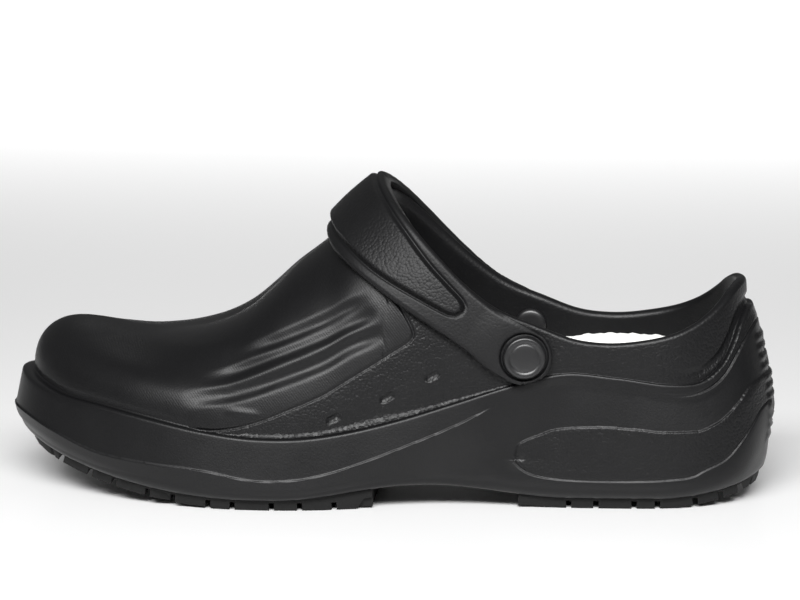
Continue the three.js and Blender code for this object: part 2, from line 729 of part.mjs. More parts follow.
// Insole: lies on the footbed and stands up against the wall around the heel
function insole() {
  const side = INSOLE_SIDE_GAP;
  const cup = (angle) => SEAT_HEIGHT * footbed.cup(stationOf(angle));
  const rim = (back) => (angle) => inset(angle, innerBack(stationOf(angle)) + back).setZ(cup(angle));
  const dish = (angle) => {
    const low = bedPoint(angle, 1, side + INSOLE_RIM + INSOLE_DISH_BACK, GAP + INSOLE_THICKNESS);
    return low.setZ(mix(low.z, cup(angle), INSOLE_DISH_RISE));
  };
  const under = [
    (angle) => bedPoint(angle, 1, side, SEAT_FILLET),
    (angle) => bedPoint(angle, 1, FILLET_MIDDLE + side, FILLET_MIDDLE + GAP),
    (angle) => bedPoint(angle, 1, SEAT_FILLET, GAP),
    (angle) => bedPoint(angle, 0, SEAT_FILLET, GAP),
  ];
  const above = [
    under[0],
    rim(side),
    rim(side + INSOLE_RIM),
    dish,
    (angle) => bedPoint(angle, 1, 2 * SEAT_FILLET, GAP + INSOLE_THICKNESS),
    (angle) => bedPoint(angle, 0, 2 * SEAT_FILLET, GAP + INSOLE_THICKNESS),
  ];
  return solid(turned(patch(under)), patch(above));
}

// Heel strap: a band of the upper's own form, cut by its outline seen from the side. The edges are given
// in shares of the way from the button to the strap's apex on the ridge.
const STRAP_FRONT = [
  [0.2, -0.07],
  [0.41, 0.105],
  [0.7, 0.32],
  [1.0, 0.55],
  [1.13, 0.68],
  [1.28, 0.92],
];
const STRAP_REAR = [
  [0.97, 1.3],
  [0.89, 1.17],
  [0.74, 0.965],
  [0.55, 0.705],
  [0.31, 0.435],
  [0.13, 0.275],
  [0.01, 0.205],
  [-0.1, 0.135],
];
const STRAP_BEAD = [
  [0.32, 0.41],
  [0.45, 0.48],
  [0.62, 0.68],
  [0.8, 0.95],
  [0.96, 1.2],
  [1.05, 1.35],
];
const STRAP_PAD = [
  [1.28, 1.0],
  [1.12, 0.78],
  [1.0, 0.66],
  [0.84, 0.52],
  [0.58, 0.345],
  [0.4, 0.24],
  [0.33, 0.29],
  [0.38, 0.41],
  [0.55, 0.6],
  [0.74, 0.875],
  [0.9, 1.12],
  [1.0, 1.28],
];

function strapPlace([along, up]) {
  const { point } = BUTTONS.lateral;
  const x = mix(point.x, xAt(STRAP_APEX_AT), along);
  return new THREE.Vector2(x, mix(BUTTON_HEIGHT, INSTEP_HEIGHT, up));
}

function strapOutline() {
  const { point } = BUTTONS.lateral;
  const front = STRAP_FRONT.map(strapPlace);
  const rear = STRAP_REAR.map(strapPlace);
  const centre = new THREE.Vector2(point.x, BUTTON_HEIGHT);
  const first = rear[rear.length - 1].clone().sub(centre).angle();
  const last = front[0].clone().sub(centre).angle();
  const shape = new THREE.Shape();
  shape.moveTo(front[0].x, front[0].y);
  shape.splineThru(front.slice(1));
  shape.lineTo(rear[0].x, rear[0].y);
  shape.splineThru(rear.slice(1));
  shape.absarc(centre.x, centre.y, STRAP_END_RADIUS, first, last, true);
  return shape;
}

function smoothOutline(table) {
  const places = table.map(strapPlace);
  const shape = new THREE.Shape();
  shape.moveTo(places[0].x, places[0].y);
  shape.splineThru(places.slice(1));
  return shape;
}

function beadOutline() {
  const rear = STRAP_REAR.slice(0, STRAP_REAR.length - 3).map(strapPlace);
  const shape = smoothOutline(STRAP_BEAD);
  shape.lineTo(rear[0].x, rear[0].y);
  shape.splineThru(rear.slice(1));
  return shape;
}

function across(shape) {
  const depth = 2 * BALL_WIDTH;
  return solid(
    new THREE.ExtrudeGeometry(shape, { depth, bevelEnabled: false, curveSegments: 4 })
      .rotateX(Math.PI / 2)
      .translate(0, depth / 2, 0),
  );
}

function heelStrap() {
  const under = form(STRAP_GAP);
  const band = form(STRAP_GAP + STRAP_THICKNESS).intersect(across(strapOutline()));
  const pad = form(STRAP_GAP + STRAP_THICKNESS + STRAP_PAD_RISE).intersect(across(smoothOutline(STRAP_PAD)));
  const bead = form(STRAP_GAP + STRAP_THICKNESS + STRAP_BEAD_RISE).intersect(across(beadOutline()));
  return band
    .add(pad)
    .add(bead)
    .subtract(under)
    .subtract(shaftHole(BUTTONS.lateral))
    .subtract(shaftHole(BUTTONS.medial));
}

// Buttons: the cap with its shaft outside, the stud's disc inside
function profile(points) {
  const corners = points.map(([radius, height]) => new THREE.Vector2(radius, height));
  return new THREE.LatheGeometry(corners, ROUND_SEGMENTS);
}

function buttonCap() {
  const seat = STRAP_GAP + STRAP_THICKNESS + BUTTON_PLAY;
  return profile([
    [0, -WALL],
    [SHAFT_RADIUS, -WALL],
    [SHAFT_RADIUS, seat],
    [CAP_RADIUS, seat],
    [CAP_RADIUS, seat + CAP_HEIGHT * 0.45],
    [CAP_FACE_RADIUS, seat + CAP_HEIGHT],
    [0, seat + CAP_HEIGHT],
  ]);
}

function buttonStud() {
  const seat = -WALL - BUTTON_PLAY;
  return profile([
    [0, seat - STUD_HEIGHT],
    [STUD_RADIUS * 0.8, seat - STUD_HEIGHT],
    [STUD_RADIUS, seat - STUD_HEIGHT * 0.5],
    [STUD_RADIUS, seat],
    [0, seat],
  ]);
}

// The clog
const foam = new THREE.MeshStandardMaterial({ color: 0x1d1d1e, roughness: 0.5, metalness: 0 });
const rubber = new THREE.MeshStandardMaterial({ color: 0x0e0e0f, roughness: 0.6, metalness: 0 });
const button = new THREE.MeshStandardMaterial({ color: 0x171718, roughness: 0.35, metalness: 0 });
const lining = new THREE.MeshStandardMaterial({ color: 0xe8e8e6, roughness: 0.9, metalness: 0 });

const clog = new THREE.Group();

function place(name, geometry, material) {
  const mesh = new THREE.Mesh(geometry, material);
  mesh.name = name;
  clog.add(mesh);
}

place("clog_body", geometryOf(clogBody()), foam);
place("outsole_forefoot", geometryOf(treadPad(xAt(1) - SWEEP, xAt(FOREPAD_FROM), FOREPAD_GROOVES)), rubber);
place("outsole_heel", geometryOf(treadPad(xAt(HEELPAD_UNTIL), xAt(0) + SWEEP, HEELPAD_GROOVES)), rubber);
place("insole", geometryOf(insole()), lining);
place("heel_strap", geometryOf(heelStrap()), foam);
for (const [side, seat] of Object.entries(BUTTONS)) {
  place(`button_cap_${side}`, geometryOf(solid(standOn(buttonCap(), seat))), button);
  place(`button_stud_${side}`, geometryOf(solid(standOn(buttonStud(), seat))), button);
}

// The origin is the middle of the clog's box, on the floor
const box = new THREE.Box3().setFromObject(clog);
const middle = box.getCenter(new THREE.Vector3());
clog.position.set(-middle.x, -middle.y, -box.min.z);

export default clog;
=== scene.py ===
"""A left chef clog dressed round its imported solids.

The foam shell, the heel strap, the insole and the tread pads are modelled again as fine meshes on the same
last as the solids, with the low relief, grain and rounding of the moulded product. Metres, +Z up. The toe
points to -X and the outer side of the foot faces -Y.
"""

import logging
import math
from bisect import bisect_left
from dataclasses import dataclass, field
from enum import Enum
from functools import cached_property, lru_cache
from typing import Any, Callable, Iterable, Sequence

import bmesh
import bpy
from mathutils import Matrix, Vector
from mathutils.bvhtree import BVHTree
from mathutils.kdtree import KDTree


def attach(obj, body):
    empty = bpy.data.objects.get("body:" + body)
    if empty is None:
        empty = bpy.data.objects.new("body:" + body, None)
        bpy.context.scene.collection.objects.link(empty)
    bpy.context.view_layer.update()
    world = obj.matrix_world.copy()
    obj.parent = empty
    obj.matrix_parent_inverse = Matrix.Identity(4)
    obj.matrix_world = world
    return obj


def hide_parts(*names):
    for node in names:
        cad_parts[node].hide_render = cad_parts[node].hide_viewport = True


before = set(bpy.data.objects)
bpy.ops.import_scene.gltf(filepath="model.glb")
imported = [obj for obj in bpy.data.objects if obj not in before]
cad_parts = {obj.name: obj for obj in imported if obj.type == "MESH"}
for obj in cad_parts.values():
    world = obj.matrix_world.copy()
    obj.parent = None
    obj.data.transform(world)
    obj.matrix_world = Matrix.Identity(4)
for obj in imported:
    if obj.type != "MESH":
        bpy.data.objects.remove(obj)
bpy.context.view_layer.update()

MM = 0.001
TAU = 2 * math.pi
LOG = logging.getLogger("clog")

Place = tuple[float, float]
Row = Callable[[float], Vector]


def mix(a: float, b: float, share: float) -> float:
    """Blend two numbers."""
    return a + (b - a) * share


def clamp(value: float, low: float, high: float) -> float:
    """Hold a number between two limits."""
    return max(low, min(high, value))


def smooth(share: float) -> float:
    """Ease from 0 to 1 with level ends."""
    s = clamp(share, 0.0, 1.0)
    return s * s * (3 - 2 * s)


def angle_of(station: float) -> float:
    """Angle round the shoe of a station on the outer side: 0 at the heel's back, pi at the toe's tip."""
    return math.acos(1 - 2 * clamp(station, 0.0, 1.0))


def station_of(angle: float) -> float:
    """Station of an angle: 0 at the heel's back, 1 at the toe's tip."""
    return (1 - math.cos(angle)) / 2


class Side(Enum):
    """The shoe's two sides, valued by the sign of Y."""

    LATERAL = -1
    MEDIAL = 1

    def angle(self, station: float) -> float:
        """Angle round the shoe of a station on this side."""
        turned = angle_of(station)
        return turned if self is Side.LATERAL else TAU - turned


class Table:
    """Smooth curves through the rows of a table, one for each named column."""

    def __init__(
        self,
        columns: Sequence[str],
        rows: Sequence[Sequence[float]],
        place: Callable[[float], float] = lambda station: station,
        odd: str = "",
    ) -> None:
        """Work out the slopes at the rows.

        Args:
            columns: names of the columns after the station.
            rows: the station and the values at each row.
            place: turns a station into the place that the curves run over.
            odd: a column that is 0 at both ends and changes sign beyond them, as a half width does.
        """
        self.place = place
        self.knots = [place(row[0]) for row in rows]
        self.values = {name: [row[i + 1] for row in rows] for i, name in enumerate(columns)}
        self.slopes = {name: self._slopes(values, name == odd) for name, values in self.values.items()}

    def _slopes(self, values: Sequence[float], odd: bool) -> list[float]:
        """Slope at each row: level or straight at the ends, through three rows between them."""
        knots = self.knots
        last = len(knots) - 1

        def rate(i: int) -> float:
            return (values[i + 1] - values[i]) / (knots[i + 1] - knots[i])

        slopes = [rate(0) if odd else 0.0]
        for i in range(1, last):
            before = knots[i] - knots[i - 1]
            after = knots[i + 1] - knots[i]
            slopes.append((rate(i) * before + rate(i - 1) * after) / (before + after))
        slopes.append(rate(last - 1) if odd else 0.0)
        return slopes

    def at(self, name: str, station: float) -> float:
        """Value of a named column at a station."""
        knots = self.knots
        place = clamp(self.place(station), knots[0], knots[-1])
        i = max(bisect_left(knots, place) - 1, 0)
        values = self.values[name]
        slopes = self.slopes[name]
        span = knots[i + 1] - knots[i]
        s = (place - knots[i]) / span
        level = values[i] * (1 + 2 * s) * (1 - s) ** 2 + values[i + 1] * s * s * (3 - 2 * s)
        return level + span * s * (1 - s) * (slopes[i] * (1 - s) - slopes[i + 1] * s)


# The outline seen from above: half width and sideways drift in shares of the ball width
PLAN = Table(
    ("half", "drift"),
    (
        (0.0, 0.0, 0.0),
        (0.01, 0.13, 0.0),
        (0.03, 0.223, 0.0),
        (0.07, 0.302, 0.0),
        (0.13, 0.347, -0.002),
        (0.2, 0.358, -0.005),
        (0.3, 0.356, -0.012),
        (0.4, 0.365, -0.026),
        (0.5, 0.4, -0.033),
        (0.6, 0.454, -0.026),
        (0.68, 0.486, 0.002),
        (0.76, 0.484, 0.033),
        (0.83, 0.449, 0.058),
        (0.89, 0.388, 0.077),
        (0.94, 0.307, 0.093),
        (0.975, 0.209, 0.107),
        (0.993, 0.112, 0.112),
        (1.0, 0.0, 0.112),
    ),
    angle_of,
    "half",
)

# Heights of the lines round the wall in shares of the rim height: under and over the heel island, the
# foxing's crease and its rim
LINES = Table(
    ("low", "high", "crease", "rim"),
    (
        (0.0, 0.71, 0.9, 1.26, 1.35),
        (0.008, 0.68, 0.87, 1.24, 1.34),
        (0.02, 0.57, 0.81, 1.13, 1.25),
        (0.035, 0.44, 0.73, 1.0, 1.12),
        (0.055, 0.31, 0.64, 0.88, 0.99),
        (0.085, 0.24, 0.58, 0.79, 0.885),
        (0.13, 0.22, 0.57, 0.79, 0.87),
        (0.2, 0.215, 0.61, 0.85, 0.92),
        (0.27, 0.225, 0.585, 0.88, 0.945),
        (0.32, 0.26, 0.44, 0.82, 0.885),
        (0.346, 0.29, 0.4, 0.765, 0.845),
        (0.41, 0.27, 0.36, 0.6, 0.735),
        (0.474, 0.23, 0.29, 0.46, 0.63),
        (0.537, 0.18, 0.225, 0.335, 0.55),
        (0.6, 0.13, 0.175, 0.25, 0.505),
        (0.652, 0.125, 0.17, 0.235, 0.5),
        (0.73, 0.165, 0.23, 0.3, 0.54),
        (0.797, 0.215, 0.27, 0.325, 0.6),
        (0.867, 0.255, 0.31, 0.365, 0.66),
        (0.93, 0.335, 0.4, 0.47, 0.695),
        (0.97, 0.41, 0.465, 0.54, 0.745),
        (1.0, 0.46, 0.5, 0.56, 0.8),
    ),
    angle_of,
)

# How far the wall stands back from the outline on each line, and the ledge's width, in shares of the sweep
LEAN = Table(
    ("edge", "low", "high", "crease", "rim", "ledge"),
    (
        (0.0, 0.28, 0.0, 0.12, 0.52, 0.7, 0.26),
        (0.03, 0.3, 0.0, 0.1, 0.46, 0.6, 0.26),
        (0.07, 0.34, 0.0, 0.08, 0.38, 0.42, 0.2),
        (0.12, 0.36, 0.0, 0.08, 0.3, 0.3, 0.1),
        (0.2, 0.38, 0.0, 0.1, 0.28, 0.28, 0.08),
        (0.3, 0.43, 0.06, 0.16, 0.26, 0.24, 0.1),
        (0.36, 0.5, 0.22, 0.2, 0.08, 0.12, 0.14),
        (0.45, 0.55, 0.33, 0.24, 0.0, 0.14, 0.2),
        (0.54, 0.5, 0.24, 0.13, 0.0, 0.2, 0.24),
        (0.65, 0.46, 0.2, 0.1, 0.0, 0.25, 0.24),
        (0.8, 0.46, 0.2, 0.1, 0.0, 0.25, 0.24),
        (0.93, 0.5, 0.22, 0.1, 0.0, 0.26, 0.36),
        (1.0, 0.52, 0.2, 0.08, 0.0, 0.26, 0.48),
    ),
    angle_of,
)

# The ridge of the upper: height in shares of the instep height, sideways place in shares of the ball
# width, and how full the upper's section is
RIDGE = Table(
    ("height", "drift", "fullness"),
    (
        (0.0, 1.05, 0.0, 2.0),
        (0.2, 1.1, 0.0, 2.1),
        (0.4, 1.13, 0.02, 2.3),
        (0.46, 1.085, 0.026, 2.3),
        (0.503, 1.005, 0.03, 2.2),
        (0.54, 0.925, 0.034, 2.1),
        (0.568, 0.852, 0.036, 2.0),
        (0.592, 0.802, 0.038, 1.98),
        (0.619, 0.747, 0.04, 1.98),
        (0.646, 0.678, 0.044, 2.0),
        (0.673, 0.614, 0.048, 2.05),
        (0.7, 0.57, 0.052, 2.1),
        (0.727, 0.543, 0.055, 2.2),
        (0.781, 0.52, 0.06, 2.3),
        (0.834, 0.53, 0.068, 2.35),
        (0.888, 0.55, 0.078, 2.35),
        (1.0, 0.553, 0.09, 2.35),
    ),
)

# The collar's height over the quarter's: shares of the rise to the instep and of the rise to the heel
COLLAR = Table(
    ("front", "back"),
    (
        (0.0, 0.0, 1.0),
        (0.006, 0.0, 0.99),
        (0.02, 0.0, 0.88),
        (0.045, 0.0, 0.67),
        (0.075, 0.0, 0.43),
        (0.11, 0.0, 0.22),
        (0.16, 0.0, 0.06),
        (0.21, 0.0, 0.0),
        (0.257, 0.03, 0.0),
        (0.3, 0.12, 0.0),
        (0.36, 0.27, 0.0),
        (0.4, 0.45, 0.0),
        (0.437, 0.655, 0.0),
        (0.47, 0.855, 0.0),
        (0.503, 1.03, 0.0),
        (0.56, 1.45, 0.0),
        (1.0, 4.0, 0.0),
    ),
)

# The footbed's height and the height of the insole's cupped edge, in shares of the seat height
FOOTBED = Table(
    ("seat", "cup"),
    (
        (0.0, 0.97, 1.6),
        (0.12, 0.95, 1.62),
        (0.25, 0.98, 1.62),
        (0.35, 0.88, 1.42),
        (0.45, 0.7, 1.02),
        (0.55, 0.53, 0.76),
        (0.65, 0.46, 0.66),
        (0.75, 0.48, 0.68),
        (0.85, 0.57, 0.78),
        (0.93, 0.7, 0.92),
        (1.0, 0.82, 1.06),
    ),
)


@dataclass(frozen=True)
class Last:
    """The last and the moulded form on it, the same as the solids'. Stations run from heel to toe."""

    length: float = 290 * MM
    ball_width: float = 107.5 * MM
    instep_height: float = 115 * MM
    heel_height: float = 81.5 * MM
    quarter_height: float = 61 * MM
    rim_height: float = 53 * MM
    seat_height: float = 33 * MM
    seat_fillet: float = 5 * MM
    wall: float = 4 * MM
    lip: float = 2 * MM
    sweep: float = 10 * MM
    rim_step: float = 1.3 * MM
    toe_setback: float = 29 * MM
    heel_setback: float = 36 * MM
    spine_setback: float = 34 * MM
    rib_reach: float = 0.7 * MM
    tread_height: float = 4.2 * MM
    toe_spring: float = 19 * MM
    toe_spring_from: float = 0.66
    toe_spring_curve: float = 2.1
    heel_bevel: float = 7.5 * MM
    heel_bevel_until: float = 0.14
    heel_bevel_curve: float = 1.7
    arch_rise: float = 5 * MM
    arch_at: float = 0.45
    arch_reach: float = 0.19

    def station_at(self, x: float) -> float:
        """Station of a place along the shoe."""
        return 0.5 - x / self.length

    def x_at(self, station: float) -> float:
        """Place along the shoe of a station."""
        return (0.5 - station) * self.length

    def end_rise(self, x: float) -> float:
        """Rise of the whole bottom at the toe and the heel."""
        station = self.station_at(x)
        toe = max(station - self.toe_spring_from, 0.0) / (1 - self.toe_spring_from)
        heel = max(self.heel_bevel_until - station, 0.0) / self.heel_bevel_until
        spring = self.toe_spring * toe**self.toe_spring_curve
        return spring + self.heel_bevel * heel**self.heel_bevel_curve

    def deck(self, x: float) -> float:
        """Height of the foam's underside."""
        reach = clamp((self.station_at(x) - self.arch_at) / self.arch_reach, -1.0, 1.0)
        arch = self.arch_rise * math.cos(reach * math.pi / 2) ** 2
        return self.tread_height + self.end_rise(x) + arch

    def outline(self, angle: float) -> Vector:
        """Point of the outline seen from above."""
        station = station_of(angle)
        sign = -1 if math.sin(angle) >= 0 else 1
        y = self.ball_width * (PLAN.at("drift", station) + sign * PLAN.at("half", station))
        return Vector((self.length / 2 * math.cos(angle), y, 0.0))

    def spine(self, angle: float) -> Vector:
        """Point of the line that the underside and the footbed close on."""
        end = self.length / 2 - self.spine_setback
        x = mix(end, -end, station_of(angle))
        return Vector((x, self.ball_width * PLAN.at("drift", self.station_at(x)), 0.0))

    def crest(self, angle: float) -> Vector:
        """Point of the upper's ridge, carried on over the opening."""
        rear = self.length / 2 - self.heel_setback
        x = mix(rear, self.toe_setback - self.length / 2, station_of(angle))
        station = self.station_at(x)
        y = self.ball_width * RIDGE.at("drift", station)
        return Vector((x, y, self.instep_height * RIDGE.at("height", station)))

    def collar_height(self, station: float) -> float:
        """Height of the collar's edge under its lip."""
        front = COLLAR.at("front", station) * (self.instep_height - self.quarter_height)
        back = COLLAR.at("back", station) * (self.heel_height - self.quarter_height)
        return self.quarter_height + front + back

    @cached_property
    def opening_angle(self) -> float:
        """Angle of the collar's front end, where its height meets the ridge."""
        wide = angle_of(0.35)
        shut = angle_of(0.65)
        while shut - wide > 1e-9:
            middle = (wide + shut) / 2
            if self.collar_height(station_of(middle)) < self.crest(middle).z:
                wide = middle
            else:
                shut = middle
        return shut

    @cached_property
    def origin(self) -> Vector:
        """Place of the frame's origin in the last's own axes."""
        sides = [self.outline(math.pi * step / 400).y for step in range(800)]
        return Vector((self.rib_reach / 2, (min(sides) + max(sides)) / 2, 0.0))


LAST = Last()


class Section:
    """The form at one angle round the shoe, from the underside up to the ridge or the collar."""

    def __init__(self, angle: float) -> None:
        """Work out what every row needs at this angle."""
        self.angle = angle
        self.station = station_of(angle)
        self.base = LAST.outline(angle)
        step = 1e-3
        along = LAST.outline(angle + step) - LAST.outline(angle - step)
        self.inward = Vector((along.y, -along.x, 0.0)).normalized()
        self.lean = {name: LEAN.at(name, self.station) for name in LEAN.values}
        self.spine = LAST.spine(angle)
        self.crest = LAST.crest(angle)
        edge = self.inset(LAST.sweep * self.lean["edge"])
        self.height = {name: LAST.rim_height * LINES.at(name, self.station) for name in LINES.values}
        self.height["edge"] = LAST.deck(edge.x)
        self.ledge_height = self.height["rim"] + LAST.rim_step
        self.ledge_back = LAST.sweep * (self.lean["rim"] + self.lean["ledge"])
        self.fullness = RIDGE.at("fullness", self.station)

    def inset(self, distance: float) -> Vector:
        """Point set in from the outline."""
        return self.base + self.inward * distance

    @cached_property
    def collar_arc(self) -> float:
        """Arc at which the upper reaches the collar, a quarter turn ahead of the opening."""
        rise = LAST.collar_height(self.station) - self.ledge_height
        share = clamp(rise / (self.crest.z - self.ledge_height), 0.0, 1.0)
        return math.asin(share ** (self.fullness / 2))

    def under(self, share: float) -> Vector:
        """Point of the underside between the centre line and the foam's lower edge."""
        point = self.spine.lerp(self.inset(LAST.sweep * self.lean["edge"]), share)
        point.z = LAST.deck(point.x)
        return point

    def wall(self, low: str, high: str, share: float) -> Vector:
        """Point of the side wall between two of its lines. Under the low line the wall is a quarter round."""
        turn = share * math.pi / 2
        back, rise = (math.sin(turn), 1 - math.cos(turn)) if low == "edge" else (share, share)
        distance = LAST.sweep * mix(self.lean[low], self.lean[high], back)
        point = self.inset(distance)
        point.z = mix(self.height[low], self.height[high], rise)
        return point

    def ledge(self, share: float) -> Vector:
        """Point of the foxing's top: round over the rim, then round into the upper."""
        bend = 0.6
        if share < bend:
            turn = share / bend * math.pi / 2
            back = bend * (1 - math.cos(turn))
            rise = math.sin(turn)
        else:
            back = mix(bend, 1.0, (share - bend) / (1 - bend))
            rise = 1.0
        point = self.inset(LAST.sweep * (self.lean["rim"] + self.lean["ledge"] * back))
        point.z = self.height["rim"] + LAST.rim_step * rise
        return point

    def upper(self, arc: float, grow: float = 0.0) -> Vector:
        """Point of the upper: a superellipse quarter from the ledge up to the ridge.

        Args:
            arc: angle, 0 at the ledge and a quarter turn at the ridge.
            grow: how far the surface is moved out or, below 0, in.

        Returns:
            The point in the last's own axes.
        """
        power = 2 / self.fullness
        foot = self.inset(self.ledge_back - grow)
        out = max(math.cos(arc), 0.0) ** power
        up = max(math.sin(arc), 0.0) ** power
        return Vector(
            (
                mix(self.crest.x, foot.x, out),
                mix(self.crest.y, foot.y, out),
                mix(self.ledge_height, self.crest.z + grow, up),
            )
        )

    def bed(self, share: float, back: float, rise: float) -> Vector:
        """Point of the footbed between the centre line and the wall."""
        edge = self.inset(self.ledge_back + LAST.wall + back)
        point = self.spine.lerp(edge, share)
        point.z = LAST.seat_height * FOOTBED.at("seat", LAST.station_at(point.x)) + rise
        return point

    def lip(self, share: float) -> Vector:
        """Point of the collar's round lip, from the outer skin over to the inner one."""
        reach = 0.01
        ahead = min(self.station + reach, 1.0)
        behind = max(self.station - reach, 0.0)
        rise = LAST.collar_height(ahead) - LAST.collar_height(behind)
        slope = rise / (LAST.x_at(ahead) - LAST.x_at(behind))
        turn = share * math.pi
        outer = self.upper(self.collar_arc)
        inner = self.upper(self.collar_arc, -LAST.wall)
        point = outer.lerp(inner, (1 - math.cos(turn)) / 2)
        return point + Vector((-slope, 0.0, 1.0)).normalized() * LAST.lip * math.sin(turn)


@lru_cache(maxsize=None)
def section(angle: float) -> Section:
    """The section at an angle, worked out once."""
    return Section(angle)


class Girth:
    """Places round the shoe from 0 to 1: a quarter each side is behind the opening's end, a quarter ahead."""

    samples: int = 400

    def __init__(self) -> None:
        """Measure the outline of the outer side behind and ahead of the opening."""
        self.opening = LAST.opening_angle
        self.rear = self._measure(0.0, self.opening)
        self.front = self._measure(self.opening, math.pi)

    def _measure(self, start: float, end: float) -> tuple[list[float], list[float]]:
        """Lengths along the outline from one angle to another, with the angles."""
        angles = [mix(start, end, step / self.samples) for step in range(self.samples + 1)]
        lengths = [0.0]
        for before, after in zip(angles, angles[1:]):
            lengths.append(lengths[-1] + (LAST.outline(after) - LAST.outline(before)).length)
        return lengths, angles

    def angle(self, place: float) -> float:
        """Angle of a place round the shoe."""
        if place > 0.5:
            return TAU - self.angle(1.0 - place)
        quarter = 0.25
        lengths, angles = self.rear if place <= quarter else self.front
        share = place / quarter if place <= quarter else place / quarter - 1
        along = clamp(share, 0.0, 1.0) * lengths[-1]
        i = clamp(bisect_left(lengths, along), 1, self.samples)
        part = (along - lengths[i - 1]) / (lengths[i] - lengths[i - 1])
        return mix(angles[i - 1], angles[i], part)


GIRTH = Girth()


@dataclass(frozen=True)
class Lane:
    """A strip of a surface: how many rows of faces it has, and its point at a section and a share across."""

    rows: int
    place: Callable[[Section, float], Vector]


@dataclass
class Skin:
    """A surface bent from a flat grid: columns round the shoe, lanes of rows across.

    Attributes:
        lanes: the strips from the first edge to the last.
        columns: faces round the span.
        start: first place round the shoe.
        end: last place round the shoe. Places below 0 are counted back from 1.
    """

    lanes: Sequence[Lane]
    columns: int
    start: float = 0.0
    end: float = 1.0

    @cached_property
    def rows(self) -> int:
        """Rows of faces in all lanes."""
        return sum(lane.rows for lane in self.lanes)

    def place(self, flat: Vector) -> Vector:
        """Point of the surface for a point of the flat grid."""
        round_share = round(flat.x + 0.5, 6)
        row = clamp(round((flat.y + 0.5) * self.rows, 4), 0.0, float(self.rows))
        cut = section(GIRTH.angle(mix(self.start, self.end, round_share) % 1.0))
        for lane in self.lanes:
            if row <= lane.rows:
                return lane.place(cut, row / lane.rows)
            row -= lane.rows
        return self.lanes[-1].place(cut, 1.0)

    def bend(self, shell: bmesh.types.BMesh, refine: Callable[[Vector, int], bool] | None = None) -> list:
        """Add the surface to a mesh.

        Args:
            shell: mesh that takes the surface.
            refine: says whether low relief needs the faces at a point halved once more.

        Returns:
            The new vertices.
        """
        sheet = bmesh.new()
        bmesh.ops.create_grid(sheet, x_segments=self.columns, y_segments=self.rows, size=0.5)
        level = 1
        while refine:
            rim = 0.5 - 1e-6
            fine = set()
            for face in sheet.faces:
                middle = face.calc_center_median()
                if max(abs(v.co.y) for v in face.verts) < rim and refine(self.place(middle), level):
                    fine.update(edge for edge in face.edges if max(abs(v.co.x) for v in edge.verts) < rim)
            if not fine:
                break
            bmesh.ops.subdivide_edges(
                sheet, edges=list(fine), cuts=1, use_grid_fill=True, use_single_edge=True
            )
            level += 1
        for vertex in sheet.verts:
            vertex.co = self.place(vertex.co)
        held = bpy.data.meshes.new("sheet")
        sheet.to_mesh(held)
        sheet.free()
        count = len(shell.verts)
        shell.from_mesh(held)
        bpy.data.meshes.remove(held)
        shell.verts.ensure_lookup_table()
        return shell.verts[count:]


def on_upper(side: Side, station: float, arc: float, grow: float = 0.0) -> Vector:
    """Point of the upper at a station and a share of its arc, 0 at the foxing and 1 at the ridge."""
    return section(side.angle(station)).upper(arc * math.pi / 2, grow)


def on_upper_at(side: Side, station: float, height: float) -> Vector:
    """Point of the upper at a station and a height."""
    cut = section(side.angle(station))
    share = clamp((height - cut.ledge_height) / (cut.crest.z - cut.ledge_height), 0.0, 1.0)
    return cut.upper(math.asin(share ** (cut.fullness / 2)))


def on_wall(side: Side, station: float, level: float) -> Vector:
    """Point of the side wall at a station and a height in shares of the rim height."""
    cut = section(side.angle(station))
    height = level * LAST.rim_height
    names = ("edge", "low", "high", "crease", "rim")
    for low, high in zip(names, names[1:]):
        if height <= cut.height[high] or high == "rim":
            share = (height - cut.height[low]) / (cut.height[high] - cut.height[low])
            if low == "edge":
                share = math.acos(clamp(1 - share, -1.0, 1.0)) / (math.pi / 2)
            return cut.wall(low, high, clamp(share, 0.0, 1.0))
    return cut.ledge(1.0)


def spline(points: Sequence[Place], steps: int) -> list[Place]:
    """Places along a smooth curve through some points, evenly many between each two."""
    ends = [points[0], *points, points[-1]]
    made = []
    for i in range(1, len(ends) - 2):
        before, start, end, after = ends[i - 1 : i + 3]
        for step in range(steps):
            s = step / steps
            made.append(
                tuple(
                    0.5
                    * (
                        2 * start[k]
                        + (end[k] - before[k]) * s
                        + (2 * before[k] - 5 * start[k] + 4 * end[k] - after[k]) * s * s
                        + (3 * start[k] - before[k] - 3 * end[k] + after[k]) * s**3
                    )
                    for k in (0, 1)
                )
            )
    made.append(tuple(points[-1]))
    for _ in range(steps):
        made[1:-1] = [tuple((a[k] + 2 * b[k] + c[k]) / 4 for k in (0, 1)) for a, b, c in zip(made, made[1:], made[2:])]
    return made


class Trail:
    """A line on the form, for the distance of any point from it."""

    def __init__(self, points: Sequence[Vector]) -> None:
        """Keep the points in a tree."""
        self.points = list(points)
        self.tree = KDTree(len(self.points))
        for i, point in enumerate(self.points):
            self.tree.insert(point, i)
        self.tree.balance()

    def near(self, point: Vector) -> tuple[float, float]:
        """Distance of a point, and the share of the line's length at which it lies."""
        _, index, distance = self.tree.find(point)
        return distance, index / max(len(self.points) - 1, 1)

    def above(self, point: Vector) -> float:
        """Distance of a point, below 0 if it lies lower than the line."""
        place, _, distance = self.tree.find(point)
        return distance if point.z > place.z else -distance

    def left(self, point: Vector) -> float:
        """Distance of a point, above 0 on the line's left as the shoe's outer side shows it."""
        place, index, distance = self.tree.find(point)
        ahead = self.points[min(index + 1, len(self.points) - 1)]
        behind = self.points[max(index - 1, 0)]
        way = ahead - behind
        gap = point - place
        return distance if way.x * gap.z - way.z * gap.x > 0 else -distance


def slack(level: int) -> float:
    """Room round a line in which faces are halved for the given time, by the size that they still have."""
    return 1.4 * MM / 2 ** (level - 1)


